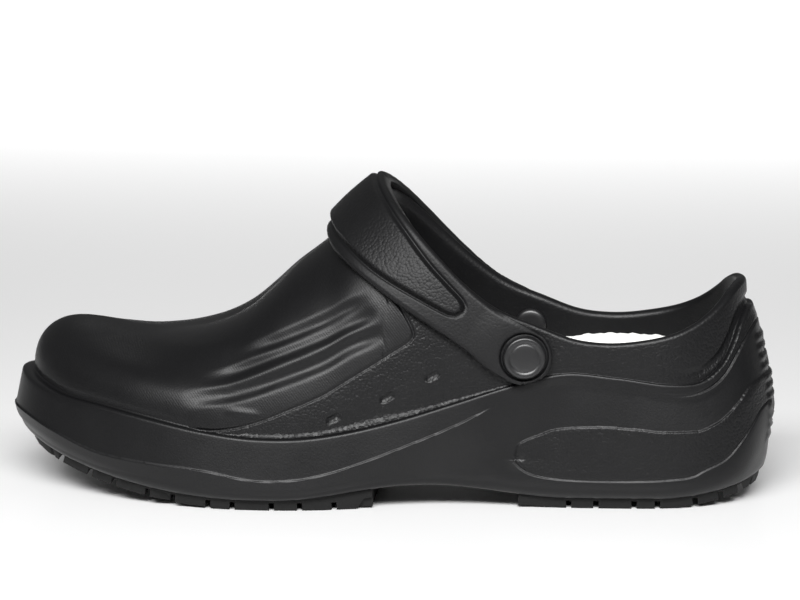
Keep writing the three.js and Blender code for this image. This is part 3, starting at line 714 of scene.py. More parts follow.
@dataclass
class Groove:
    """A trough pressed into the skin along a line, or a ridge where its depth is below 0.

    Attributes:
        trail: the line.
        depth: depth at the middle.
        reach: half of the width.
        fade_in: share of the line over which it deepens.
        fade_out: share of the line over which it ends.
        detail: how often the faces on it are halved.
    """

    trail: Trail
    depth: float
    reach: float
    fade_in: float = 0.0
    fade_out: float = 0.0
    detail: int = 1

    def offset(self, point: Vector) -> float:
        """Offset of the skin at a point, below 0 into the foam."""
        distance, share = self.trail.near(point)
        if distance >= self.reach:
            return 0.0
        bowl = (1 - (distance / self.reach) ** 2) ** 2
        start = smooth(share / self.fade_in) if self.fade_in else 1.0
        end = smooth((1 - share) / self.fade_out) if self.fade_out else 1.0
        return -self.depth * bowl * start * end

    def wants(self, point: Vector, level: int) -> bool:
        """Whether faces at a point are to be halved for the given time."""
        return level <= self.detail and self.trail.near(point)[0] < self.reach + slack(level)


@dataclass
class Step:
    """A line on the wall below which the skin stands out, with a rounded edge.

    Attributes:
        trail: the line.
        height: how far the skin below it stands out.
        bevel: width of the rounded edge.
        fade: share of the line over which the step grows at each end.
        foot: height over the foam's underside below which the step dies out.
        reach: distance from the line at which the step has died out.
        detail: how often the faces on the edge are halved.
    """

    trail: Trail
    height: float
    bevel: float
    fade: float = 0.02
    foot: float = 5 * MM
    reach: float = 60 * MM
    detail: int = 2

    def offset(self, point: Vector) -> float:
        """Offset of the skin at a point."""
        distance, share = self.trail.near(point)
        ends = smooth(share / self.fade) * smooth((1 - share) / self.fade) * smooth(2 - 2 * distance / self.reach)
        low = smooth((point.z - LAST.deck(point.x)) / self.foot)
        return self.height * smooth(0.5 - self.trail.above(point) / self.bevel) * ends * low

    def wants(self, point: Vector, level: int) -> bool:
        """Whether faces at a point are to be halved for the given time."""
        distance, share = self.trail.near(point)
        return level <= self.detail and distance < self.bevel / 2 + slack(level) and 0 < share < 1


@dataclass
class Plateau:
    """A raised field on the wall between an upper and a lower line that meet at both ends.

    Attributes:
        top: the upper line.
        foot: the lower line.
        height: how far the field stands out.
        bevel: width of the rounded edge.
        detail: how often the faces on the edge are halved.
    """

    top: Trail
    foot: Trail
    height: float
    bevel: float
    detail: int = 2

    def depth(self, point: Vector) -> float:
        """Distance of a point from the field's edge, below 0 outside it."""
        if point.x < self.top.points[0].x:
            return -min(self.top.near(point)[0], self.foot.near(point)[0])
        return min(-self.top.above(point), self.foot.above(point))

    def offset(self, point: Vector) -> float:
        """Offset of the skin at a point."""
        return self.height * smooth(self.depth(point) / self.bevel + 0.5)

    def wants(self, point: Vector, level: int) -> bool:
        """Whether faces at a point are to be halved for the given time."""
        nearest = min(self.top.near(point)[0], self.foot.near(point)[0])
        return level <= self.detail and nearest < self.bevel / 2 + slack(level)


@dataclass
class Ribs:
    """Rounded ribs stacked on the back of the heel.

    Attributes:
        low: height of the lowest rib's foot.
        high: height at which they end.
        pitch: distance from rib to rib.
        reach: how far they stand out.
        half_width: from the middle to their ends.
        detail: how often the faces on them are halved.
    """

    low: float = 22.5 * MM
    high: float = 63.5 * MM
    pitch: float = 3.75 * MM
    reach: float = 0.8 * MM
    half_width: float = 12.5 * MM
    detail: int = 2

    def offset(self, point: Vector) -> float:
        """Offset of the skin at a point."""
        if not self.wants(point, 1):
            return 0.0
        place = (point.z - self.low) / self.pitch % 1.0
        crown = math.sin(math.pi * min(place / 0.68, 1.0)) ** 0.6 if place < 0.68 else 0.0
        sides = smooth((self.half_width - abs(point.y)) / (3 * MM))
        return self.reach * crown * sides

    def wants(self, point: Vector, level: int) -> bool:
        """Whether faces at a point are to be halved for the given time."""
        behind = point.x > LAST.length / 2 - 25 * MM
        beside = abs(point.y) < self.half_width
        return level <= self.detail and behind and beside and self.low < point.z < self.high


Relief = Groove | Step | Plateau | Ribs


def linear(colour: str) -> tuple[float, float, float, float]:
    """Linear colour of an sRGB hex value such as "1c1c1d"."""
    parts = [int(colour[i : i + 2], 16) / 255 for i in (0, 2, 4)]
    return (*(p / 12.92 if p <= 0.04045 else ((p + 0.055) / 1.055) ** 2.4 for p in parts), 1.0)


def add(tree: bpy.types.NodeTree, kind: str, settings: dict[str, Any] | None = None, **sockets: Any) -> Any:
    """Add a node with its settings, values and links.

    Args:
        tree: material's node tree.
        kind: node type.
        settings: attributes of the node.
        sockets: input name, with _ for a space, to a value or to an output socket.

    Returns:
        The node.
    """
    node = tree.nodes.new(kind)
    for name, value in (settings or {}).items():
        setattr(node, name, value)
    for name, value in sockets.items():
        key = name.replace("_", " ")
        socket = node.inputs[int(key[2:])] if key.startswith("in") and key[2:].isdigit() else node.inputs[key]
        if isinstance(value, bpy.types.NodeSocket):
            tree.links.new(value, socket)
        else:
            socket.default_value = value
    return node


def new_material(name: str) -> tuple[bpy.types.Material, bpy.types.NodeTree]:
    """A material with an empty node tree."""
    material = bpy.data.materials.new(name)
    material.use_nodes = True
    material.node_tree.nodes.clear()
    return material, material.node_tree


@dataclass(frozen=True)
class MouldedFoam:
    """Closed-cell EVA foam as it leaves the mould: black and satin, with the mould's grain in low relief.

    Two vertex attributes say where the grain is the pebble of the quarter and where it is the fine slanting
    hatch of the vamp; where both are low the foam is nearly smooth, as on the foxing.

    Attributes:
        name: material's name.
        colour: sRGB hex value of the foam.
        roughness: how wide the highlights spread.
        gloss: share of light that the skin reflects, 0.5 on a polished one.
        pebble: width of one pebble of the grain.
        pebble_depth: depth between the pebbles.
        hatch: distance between two lines of the hatch.
        hatch_depth: depth of the lines.
        skin_depth: depth of the fine unevenness that is everywhere.
    """

    name: str = "eva_foam_moulded"
    colour: str = "0e0e0f"
    roughness: float = 0.39
    gloss: float = 0.26
    pebble: float = 1.0 * MM
    pebble_depth: float = 0.13 * MM
    hatch: float = 0.85 * MM
    hatch_depth: float = 0.012 * MM
    skin_depth: float = 0.05 * MM

    def make(self) -> bpy.types.Material:
        """Build the material."""
        material, tree = new_material(self.name)
        place = add(tree, "ShaderNodeTexCoord").outputs["Object"]
        height = self.relief(tree, place)
        bump = add(tree, "ShaderNodeBump", Height=height, Distance=1.0, Strength=1.0)
        mottle = add(tree, "ShaderNodeTexNoise", Vector=place, Scale=1 / (14 * MM), Detail=3.0)
        wear = add(
            tree,
            "ShaderNodeMapRange",
            Value=mottle.outputs["Fac"],
            To_Min=self.roughness - 0.06,
            To_Max=self.roughness + 0.08,
        )
        shader = add(
            tree,
            "ShaderNodeBsdfPrincipled",
            Base_Color=linear(self.colour),
            Roughness=wear.outputs[0],
            IOR=1.49,
            Specular_IOR_Level=self.gloss,
            Normal=bump.outputs[0],
        )
        add(tree, "ShaderNodeOutputMaterial", Surface=shader.outputs[0])
        return material

    def relief(self, tree: bpy.types.NodeTree, place: bpy.types.NodeSocket) -> bpy.types.NodeSocket:
        """Height of the grain in metres: pebbles, hatch and skin."""
        pebble_mask = add(tree, "ShaderNodeAttribute", {"attribute_name": "pebble"}).outputs["Fac"]
        hatch_mask = add(tree, "ShaderNodeAttribute", {"attribute_name": "hatch"}).outputs["Fac"]
        warp = add(tree, "ShaderNodeTexNoise", Vector=place, Scale=1 / (1.6 * self.pebble), Detail=1.0)
        shifted = add(
            tree,
            "ShaderNodeVectorMath",
            {"operation": "MULTIPLY_ADD"},
            in0=warp.outputs["Color"],
            in1=(0.5 * self.pebble,) * 3,
            in2=place,
        )
        cells = add(
            tree,
            "ShaderNodeTexVoronoi",
            {"feature": "SMOOTH_F1"},
            Vector=shifted.outputs[0],
            Scale=1 / self.pebble,
            Smoothness=0.15,
        )
        domes = add(tree, "ShaderNodeMath", {"operation": "POWER"}, in0=cells.outputs["Distance"], in1=2.0)
        pebbles = self.layer(tree, domes.outputs[0], pebble_mask, -self.pebble_depth)
        turned = add(tree, "ShaderNodeMapping", Vector=place, Rotation=(0.0, math.radians(38), 0.0))
        waves = add(
            tree,
            "ShaderNodeTexWave",
            {"bands_direction": "X"},
            Vector=turned.outputs[0],
            Scale=TAU / (20 * self.hatch),
            Distortion=0.6,
            Detail=1.0,
        )
        lines = self.layer(tree, waves.outputs["Fac"], hatch_mask, self.hatch_depth)
        fine = add(tree, "ShaderNodeTexNoise", Vector=place, Scale=1 / (0.7 * MM), Detail=3.0)
        skin = self.layer(tree, fine.outputs["Fac"], 1.0, self.skin_depth)
        both = add(tree, "ShaderNodeMath", {"operation": "ADD"}, in0=pebbles, in1=lines)
        return add(tree, "ShaderNodeMath", {"operation": "ADD"}, in0=both.outputs[0], in1=skin).outputs[0]

    @staticmethod
    def layer(
        tree: bpy.types.NodeTree, pattern: bpy.types.NodeSocket, mask: Any, depth: float
    ) -> bpy.types.NodeSocket:
        """A pattern scaled to its depth, where its mask lets it show."""
        scaled = add(tree, "ShaderNodeMath", {"operation": "MULTIPLY"}, in0=pattern, in1=depth)
        return add(tree, "ShaderNodeMath", {"operation": "MULTIPLY"}, in0=scaled.outputs[0], in1=mask).outputs[0]


@dataclass(frozen=True)
class Plain:
    """A moulded material with a fine even grain.

    Attributes:
        name: material's name.
        colour: sRGB hex value.
        roughness: how wide the highlights spread.
        grit: width of the grain.
        grain: depth of the grain.
        ior: index of refraction.
    """

    name: str
    colour: str
    roughness: float
    grit: float = 0.5 * MM
    grain: float = 0.03 * MM
    ior: float = 1.5

    def make(self) -> bpy.types.Material:
        """Build the material."""
        material, tree = new_material(self.name)
        place = add(tree, "ShaderNodeTexCoord").outputs["Object"]
        noise = add(tree, "ShaderNodeTexNoise", Vector=place, Scale=1 / self.grit, Detail=4.0)
        bump = add(tree, "ShaderNodeBump", Height=noise.outputs["Fac"], Distance=self.grain, Strength=0.6)
        shader = add(
            tree,
            "ShaderNodeBsdfPrincipled",
            Base_Color=linear(self.colour),
            Roughness=self.roughness,
            IOR=self.ior,
            Normal=bump.outputs[0],
        )
        add(tree, "ShaderNodeOutputMaterial", Surface=shader.outputs[0])
        return material


FOAM = MouldedFoam().make()
STRAP_FOAM = MouldedFoam(name="eva_foam_strap", roughness=0.48).make()
TREAD = Plain("nitrile_rubber_tread", "080808", 0.75, ior=1.4).make()
BUTTON = Plain("acetal_button", "161617", 0.35).make()
LINING = Plain("eva_insole_white", "e9e9e6", 0.85, grain=0.1 * MM).make()


def finish_mesh(name: str, shell: bmesh.types.BMesh, material: bpy.types.Material) -> bpy.types.Object:
    """Move a mesh into the frame, shade it smooth and link it.

    Args:
        name: object's name.
        shell: the mesh in the last's own axes, which is freed.
        material: its finish.

    Returns:
        The new object, at the origin.
    """
    bmesh.ops.translate(shell, verts=shell.verts, vec=-LAST.origin)
    for face in shell.faces:
        face.smooth = True
    mesh = bpy.data.meshes.new(name)
    shell.to_mesh(mesh)
    shell.free()
    mesh.materials.append(material)
    piece = bpy.data.objects.new(name, mesh)
    bpy.context.scene.collection.objects.link(piece)
    LOG.info("%s: %d triangles", name, sum(len(polygon.vertices) - 2 for polygon in mesh.polygons))
    return piece


# Lines of the low relief on one side of the upper: station, and share of the arc from foxing to ridge
FLUTES = (
    ((0.702, 0.432), (0.669, 0.425), (0.637, 0.412), (0.604, 0.412), (0.571, 0.407), (0.537, 0.39), (0.509, 0.371)),
    ((0.746, 0.297), (0.711, 0.324), (0.674, 0.338), (0.64, 0.343), (0.577, 0.352), (0.524, 0.33), (0.501, 0.32)),
    ((0.763, 0.158), (0.736, 0.185), (0.68, 0.218), (0.605, 0.251), (0.549, 0.259), (0.517, 0.251), (0.486, 0.243)),
)
PANEL_EDGE = (
    (0.743, 0.0),
    (0.72, 0.006),
    (0.7, 0.023),
    (0.667, 0.058),
    (0.628, 0.1),
    (0.601, 0.122),
    (0.561, 0.143),
    (0.524, 0.156),
    (0.492, 0.169),
    (0.474, 0.174),
    (0.463, 0.179),
    (0.4577, 0.187),
    (0.4563, 0.201),
    (0.463, 0.243),
    (0.475, 0.305),
    (0.4895, 0.375),
    (0.501, 0.44),
    (0.517, 0.525),
    (0.5386, 0.656),
)
PANEL_FOLD = ((0.706, 0.124), (0.676, 0.11), (0.647, 0.093))
TOE_VALLEY = (
    (0.966, 0.734),
    (0.922, 0.68),
    (0.868, 0.62),
    (0.809, 0.502),
    (0.767, 0.43),
    (0.73, 0.395),
    (0.695, 0.395),
    (0.66, 0.41),
    (0.628, 0.44),
)
DIMPLES = ((0.5572, 0.046), (0.4895, 0.054), (0.4324, 0.066))

# Foot of the ridge round the heel: station, and height in shares of the rim height
RIDGE_FOOT = ((0.17, 0.85), (0.117, 0.815), (0.082, 0.845), (0.057, 0.925), (0.034, 1.07), (0.007, 1.26), (0.0, 1.27))

# Outline of the heel island: station, and height in shares of the rim height
ISLAND_TOP = (
    (0.328, 0.37),
    (0.3276, 0.41),
    (0.3223, 0.479),
    (0.2971, 0.539),
    (0.2719, 0.584),
    (0.22, 0.601),
    (0.17, 0.584),
    (0.143, 0.567),
    (0.105, 0.565),
    (0.087, 0.574),
    (0.062, 0.64),
    (0.042, 0.736),
    (0.0236, 0.846),
    (0.005, 0.895),
)
ISLAND_FOOT = (
    (0.328, 0.37),
    (0.3276, 0.343),
    (0.3157, 0.285),
    (0.2958, 0.249),
    (0.2586, 0.227),
    (0.1936, 0.222),
    (0.1431, 0.229),
    (0.1047, 0.247),
    (0.0867, 0.291),
    (0.0618, 0.349),
    (0.0452, 0.435),
    (0.0269, 0.564),
    (0.0153, 0.664),
    (0.004, 0.71),
)


def upper_trail(side: Side, places: Sequence[Place], steps: int = 16) -> Trail:
    """Trail on the upper through some places of station and share of the arc."""
    return Trail([on_upper(side, station, arc) for station, arc in spline(places, steps)])


def wall_trail(places: Sequence[Place], steps: int = 24) -> Trail:
    """Trail on the wall from the outer side round the heel to the inner side."""
    line = spline(places, steps)
    outer = [on_wall(Side.LATERAL, *place) for place in line]
    return Trail(outer + [on_wall(Side.MEDIAL, *place) for place in reversed(line)])


@dataclass
class Shell:
    """The one-piece foam shell with its low relief.

    Attributes:
        columns: faces round the shoe, a multiple of four.
        merge: distance under which vertices are one.
        inner_detail: how often the faces of the inner side are halved at most.
    """

    columns: int = 272
    merge: float = 0.004 * MM
    inner_detail: int = 2
    flute_depth: float = 1.5 * MM
    flute_reach: float = 4.2 * MM
    panel_depth: float = 0.55 * MM
    island_height: float = 0.6 * MM
    crease_height: float = 0.6 * MM

    def side_relief(self, side: Side) -> list[Relief]:
        """Relief of one side: flutes, panel, dimples, foxing and the groove round the heel ridge."""
        shapes: list[Relief] = []
        for places in FLUTES:
            trail = upper_trail(side, places)
            shapes.append(Groove(trail, self.flute_depth, self.flute_reach, 0.35, 0.2, 1))
        shapes.append(Groove(self.panel[side], self.panel_depth, 0.9 * MM, 0.03, 0.0, 3))
        shapes.append(Groove(upper_trail(side, PANEL_FOLD), -0.4 * MM, 2 * MM, 0.4, 0.4))
        shapes.append(Groove(upper_trail(side, TOE_VALLEY), 1.3 * MM, 13 * MM, 0.3, 0.3, 0))
        for station, arc in DIMPLES:
            places = ((station + 0.0045, arc), (station - 0.0045, arc + 0.004))
            shapes.append(Groove(upper_trail(side, places), 0.9 * MM, 2.0 * MM, detail=3))
        toe_foot = Trail([on_upper(side, mix(1.0, 0.74, i / 200), 0.02) for i in range(201)])
        shapes.append(Groove(toe_foot, 0.2 * MM, 1.6 * MM, 0.0, 0.3))
        ridge_foot = Trail([on_wall(side, *place) for place in spline(RIDGE_FOOT, 24)])
        shapes.append(Groove(ridge_foot, 0.6 * MM, 0.9 * MM, 0.5, 0.0, 3))
        trough = Trail([on_upper(side, mix(0.14, 0.0, i / 200), 0.03) for i in range(201)])
        shapes.append(Groove(trough, 0.9 * MM, 2.4 * MM, 0.6, 0.0, 2))
        return shapes

    @cached_property
    def panel(self) -> dict[Side, Trail]:
        """Edge of the vamp panel on each side."""
        return {side: upper_trail(side, PANEL_EDGE) for side in Side}

    @cached_property
    def island(self) -> Plateau:
        """The raised island round the heel."""
        return Plateau(wall_trail(ISLAND_TOP), wall_trail(ISLAND_FOOT), self.island_height, 0.9 * MM, 3)

    @cached_property
    def relief(self) -> list[Relief]:
        """All relief of the outside."""
        shapes = [shape for side in Side for shape in self.side_relief(side)]
        places = [(mix(0.352, 1.0, i / 300), LINES.at("crease", mix(0.352, 1.0, i / 300))) for i in range(301)]
        shapes.append(Step(wall_trail(places, 2), self.crease_height, 0.8 * MM, 0.03, detail=3))
        low = Step(self.island.foot, self.island_height + 0.15 * MM, 0.8 * MM, 0.1, reach=16 * MM, detail=3)
        return [*shapes, self.island, low, Groove(self.island.foot, 0.4 * MM, 0.7 * MM, detail=3), Ribs()]

    def outer(self) -> list[Lane]:
        """Lanes of the outside, from the underside's centre line up to the ridge or the collar."""
        return [
            Lane(5, lambda cut, t: cut.under(t)),
            Lane(7, lambda cut, t: cut.wall("edge", "low", t)),
            Lane(7, lambda cut, t: cut.wall("low", "high", t)),
            Lane(7, lambda cut, t: cut.wall("high", "crease", t)),
            Lane(6, lambda cut, t: cut.wall("crease", "rim", t)),
            Lane(6, lambda cut, t: cut.ledge(t)),
            Lane(46, lambda cut, t: cut.upper(t * cut.collar_arc)),
        ]

    def inner(self) -> list[Lane]:
        """Lanes of the inside, from the ridge or the collar down to the footbed's centre line."""
        fillet = LAST.seat_fillet

        def corner(cut: Section, t: float) -> Vector:
            turn = t * math.pi / 2
            return cut.bed(1.0, fillet * (1 - math.cos(turn)), fillet * (1 - math.sin(turn)))

        return [
            Lane(16, lambda cut, t: cut.upper((1 - t) * cut.collar_arc, -LAST.wall)),
            Lane(3, lambda cut, t: cut.upper(0.0, -LAST.wall).lerp(cut.bed(1.0, 0.0, fillet), t)),
            Lane(4, corner),
            Lane(5, lambda cut, t: cut.bed(1 - t, fillet, 0.0)),
        ]

    def refine(self, point: Vector, level: int) -> bool:
        """Whether the relief needs the faces at a point halved for the given time."""
        outer = point.y < LAST.crest(angle_of(0.5)).y
        return (outer or level <= self.inner_detail) and any(shape.wants(point, level) for shape in self.relief)

    def build(self) -> bpy.types.Object:
        """Model the shell."""
        shell = bmesh.new()
        outside = shell.verts.layers.float.new("outside")
        for vertex in Skin(self.outer(), self.columns).bend(shell, self.refine):
            vertex[outside] = 1.0
        Skin([Lane(8, lambda cut, t: cut.lip(t))], self.columns // 2, -0.25, 0.25).bend(shell)
        Skin(self.inner(), self.columns).bend(shell)
        bmesh.ops.remove_doubles(shell, verts=shell.verts, dist=self.merge)
        bmesh.ops.recalc_face_normals(shell, faces=shell.faces)
        self.mark(shell)
        self.press(shell)
        return finish_mesh("foam_shell", shell, FOAM)

    def mark(self, shell: bmesh.types.BMesh) -> None:
        """Mark where the foam has pebble grain and where it has the vamp's fine hatch."""
        outside = shell.verts.layers.float["outside"]
        pebble = shell.verts.layers.float.new("pebble")
        hatch = shell.verts.layers.float.new("hatch")
        soft = 1.5 * MM
        for vertex in shell.verts:
            point = vertex.co
            if vertex[outside] < 0.5:
                vertex[pebble] = 0.4
                continue
            cut_rim = LAST.rim_height * LINES.at("rim", clamp(LAST.station_at(point.x), 0.0, 1.0))
            if point.z > cut_rim + LAST.rim_step:
                side = Side.LATERAL if point.y < LAST.crest(angle_of(0.5)).y else Side.MEDIAL
                front = smooth(self.panel[side].left(point) / soft + 0.5)
                vertex[pebble] = 1 - front
                vertex[hatch] = front
            else:
                vertex[pebble] = 0.1 + 0.8 * smooth(self.island.depth(point) / soft + 0.5)

    def press(self, shell: bmesh.types.BMesh) -> None:
        """Press the relief into the outside along the skin's own normals."""
        outside = shell.verts.layers.float["outside"]
        shell.normal_update()
        moves = []
        for vertex in shell.verts:
            if vertex[outside] < 0.5:
                continue
            offset = sum(shape.offset(vertex.co) for shape in self.relief)
            if offset:
                moves.append((vertex, vertex.normal * offset))
        for vertex, move in moves:
            vertex.co += move


class Crust:
    """The upper's form carried on over the opening, closed, for lines of sight that find places on it."""

    columns: int = 560
    rows: int = 110
    hub_height: float = 46 * MM

    def __init__(self) -> None:
        """Mesh the form and keep its faces in a tree."""
        form = bmesh.new()
        lanes = [
            Lane(6, lambda cut, t: cut.wall("high", "crease", t)),
            Lane(6, lambda cut, t: cut.wall("crease", "rim", t)),
            Lane(4, lambda cut, t: cut.ledge(t)),
            Lane(self.rows, lambda cut, t: cut.upper(t * math.pi / 2)),
        ]
        Skin(lanes, self.columns).bend(form)
        self.tree = BVHTree.FromBMesh(form)
        form.free()
        self.hub = LAST.crest(angle_of(0.45)).y

    def beside(self, side: Side, x: float, z: float) -> Vector | None:
        """Place that a line of sight from one side meets, or None over the ridge."""
        reach = LAST.ball_width
        start = Vector((x, side.value * reach, z))
        return self.tree.ray_cast(start, Vector((0.0, -side.value, 0.0)), reach)[0]

    def around(self, x: float, turn: float) -> Vector:
        """Place at an angle round the foot's axis: 0 on the outer side, a quarter turn on top."""
        way = Vector((0.0, -math.cos(turn), math.sin(turn)))
        return self.tree.ray_cast(Vector((x, self.hub, self.hub_height)), way)[0]

    def turn(self, point: Vector) -> float:
        """Angle of a place round the foot's axis."""
        return math.atan2(point.z - self.hub_height, self.hub - point.y)


# Edges of the heel strap seen from the side, in shares of the way from the button to the strap's apex on
# the ridge, each from the button up
STRAP_FRONT = ((0.2, -0.07), (0.41, 0.105), (0.7, 0.32), (1.0, 0.55), (1.13, 0.68), (1.28, 0.92), (1.34, 1.1))
STRAP_REAR = (
    (-0.1, 0.135),
    (0.01, 0.205),
    (0.13, 0.275),
    (0.31, 0.435),
    (0.55, 0.705),
    (0.74, 0.965),
    (0.89, 1.17),
    (0.97, 1.3),
)
PAD_FRONT = (
    (0.385, 0.264),
    (0.425, 0.272),
    (0.475, 0.298),
    (0.58, 0.36),
    (0.84, 0.52),
    (1.0, 0.66),
    (1.12, 0.78),
    (1.28, 1.0),
    (1.36, 1.2),
)
PAD_REAR = (
    (0.385, 0.264),
    (0.35, 0.283),
    (0.334, 0.317),
    (0.343, 0.35),
    (0.368, 0.385),
    (0.425, 0.45),
    (0.55, 0.6),
    (0.74, 0.875),
    (0.9, 1.12),
    (1.0, 1.28),
)
BEAD_FRONT = ((0.32, 0.41), (0.45, 0.48), (0.62, 0.68), (0.8, 0.95), (0.96, 1.2), (1.05, 1.35))


@dataclass
class Button:
    """Place and sizes of the press buttons, the same as the solids'."""

    station: float = 0.318
    level: float = 0.5
    shaft_radius: float = 3 * MM
    cap_radius: float = 7.8 * MM
    cap_height: float = 2.2 * MM
    stud_radius: float = 6.1 * MM
    stud_height: float = 1.8 * MM
    steps: int = 72

    @cached_property
    def height(self) -> float:
        """Height of the buttons' middle."""
        rim = LAST.rim_height * LINES.at("rim", self.station)
        return mix(rim, LAST.collar_height(self.station), self.level)

    def seat(self, side: Side) -> Matrix:
        """Place on the upper with +Z pointing out of it."""
        cut = section(side.angle(self.station))
        share = (self.height - cut.ledge_height) / (cut.crest.z - cut.ledge_height)
        arc = math.asin(share ** (cut.fullness / 2))
        step = 0.02
        angle = cut.angle
        round_way = section(angle + step).upper(arc) - section(angle - step).upper(arc)
        up_way = cut.upper(arc + step) - cut.upper(arc - step)
        out = round_way.cross(up_way).normalized()
        if out.y * side.value < 0:
            out = -out
        return Matrix.Translation(cut.upper(arc)) @ out.to_track_quat("Z", "Y").to_matrix().to_4x4()

    def turned(self, name: str, side: Side, outline: Sequence[Place]) -> bpy.types.Object:
        """Spin an outline of radius and height round the button's axis."""
        part = bmesh.new()
        for radius, height in outline:
            part.verts.new((radius, 0.0, height))
        part.verts.ensure_lookup_table()
        for before, after in zip(part.verts[:], part.verts[1:]):
            part.edges.new((before, after))
        bmesh.ops.spin(
            part,
            geom=part.verts[:] + part.edges[:],
            axis=(0, 0, 1),
            cent=(0, 0, 0),
            angle=TAU,
            steps=self.steps,
            use_merge=True,
        )
        bmesh.ops.remove_doubles(part, verts=part.verts, dist=0.01 * MM)
        bmesh.ops.recalc_face_normals(part, faces=part.faces)
        bmesh.ops.transform(part, matrix=self.seat(side), verts=part.verts)
        return finish_mesh(name, part, BUTTON)

    def cap(self, side: Side, seat: float) -> bpy.types.Object:
        """The outer cap with a rounded rim and one plain ring on its face."""
        edge = self.cap_radius
        top = seat + self.cap_height
        outline = [(0.0, -LAST.wall), (self.shaft_radius, -LAST.wall), (self.shaft_radius, seat), (edge - 0.5 * MM, seat)]
        outline += [(edge, seat + 0.4 * MM), (edge, top - 1.0 * MM)]
        for step in range(1, 6):
            turn = step / 5 * math.pi / 2
            outline.append((edge - (1 - math.cos(turn)) * MM, top - (1 - math.sin(turn)) * MM))
        ring = 5.4 * MM
        outline += [(ring + 0.5 * MM, top), (ring + 0.25 * MM, top - 0.25 * MM), (ring - 0.15 * MM, top - 0.3 * MM)]
        outline += [(ring - 0.5 * MM, top - 0.1 * MM), (ring - 1 * MM, top), (2 * MM, top + 0.12 * MM), (0.0, top + 0.15 * MM)]
        return self.turned(f"cap_{side.name.lower()}", side, outline)

    def stud(self, side: Side) -> bpy.types.Object:
        """The disc that holds the shaft on the inside."""
        seat = -LAST.wall - 0.6 * MM
        edge = self.stud_radius
        low = seat - self.stud_height
        outline = [(0.0, low), (0.55 * edge, low), (0.8 * edge, low + 0.15 * MM), (0.95 * edge, low + 0.55 * MM)]
        outline += [(edge, low + 1.1 * MM), (edge, seat - 0.2 * MM), (edge - 0.2 * MM, seat), (0.0, seat)]
        return self.turned(f"stud_{side.name.lower()}", side, outline)


BUTTONS = Button()


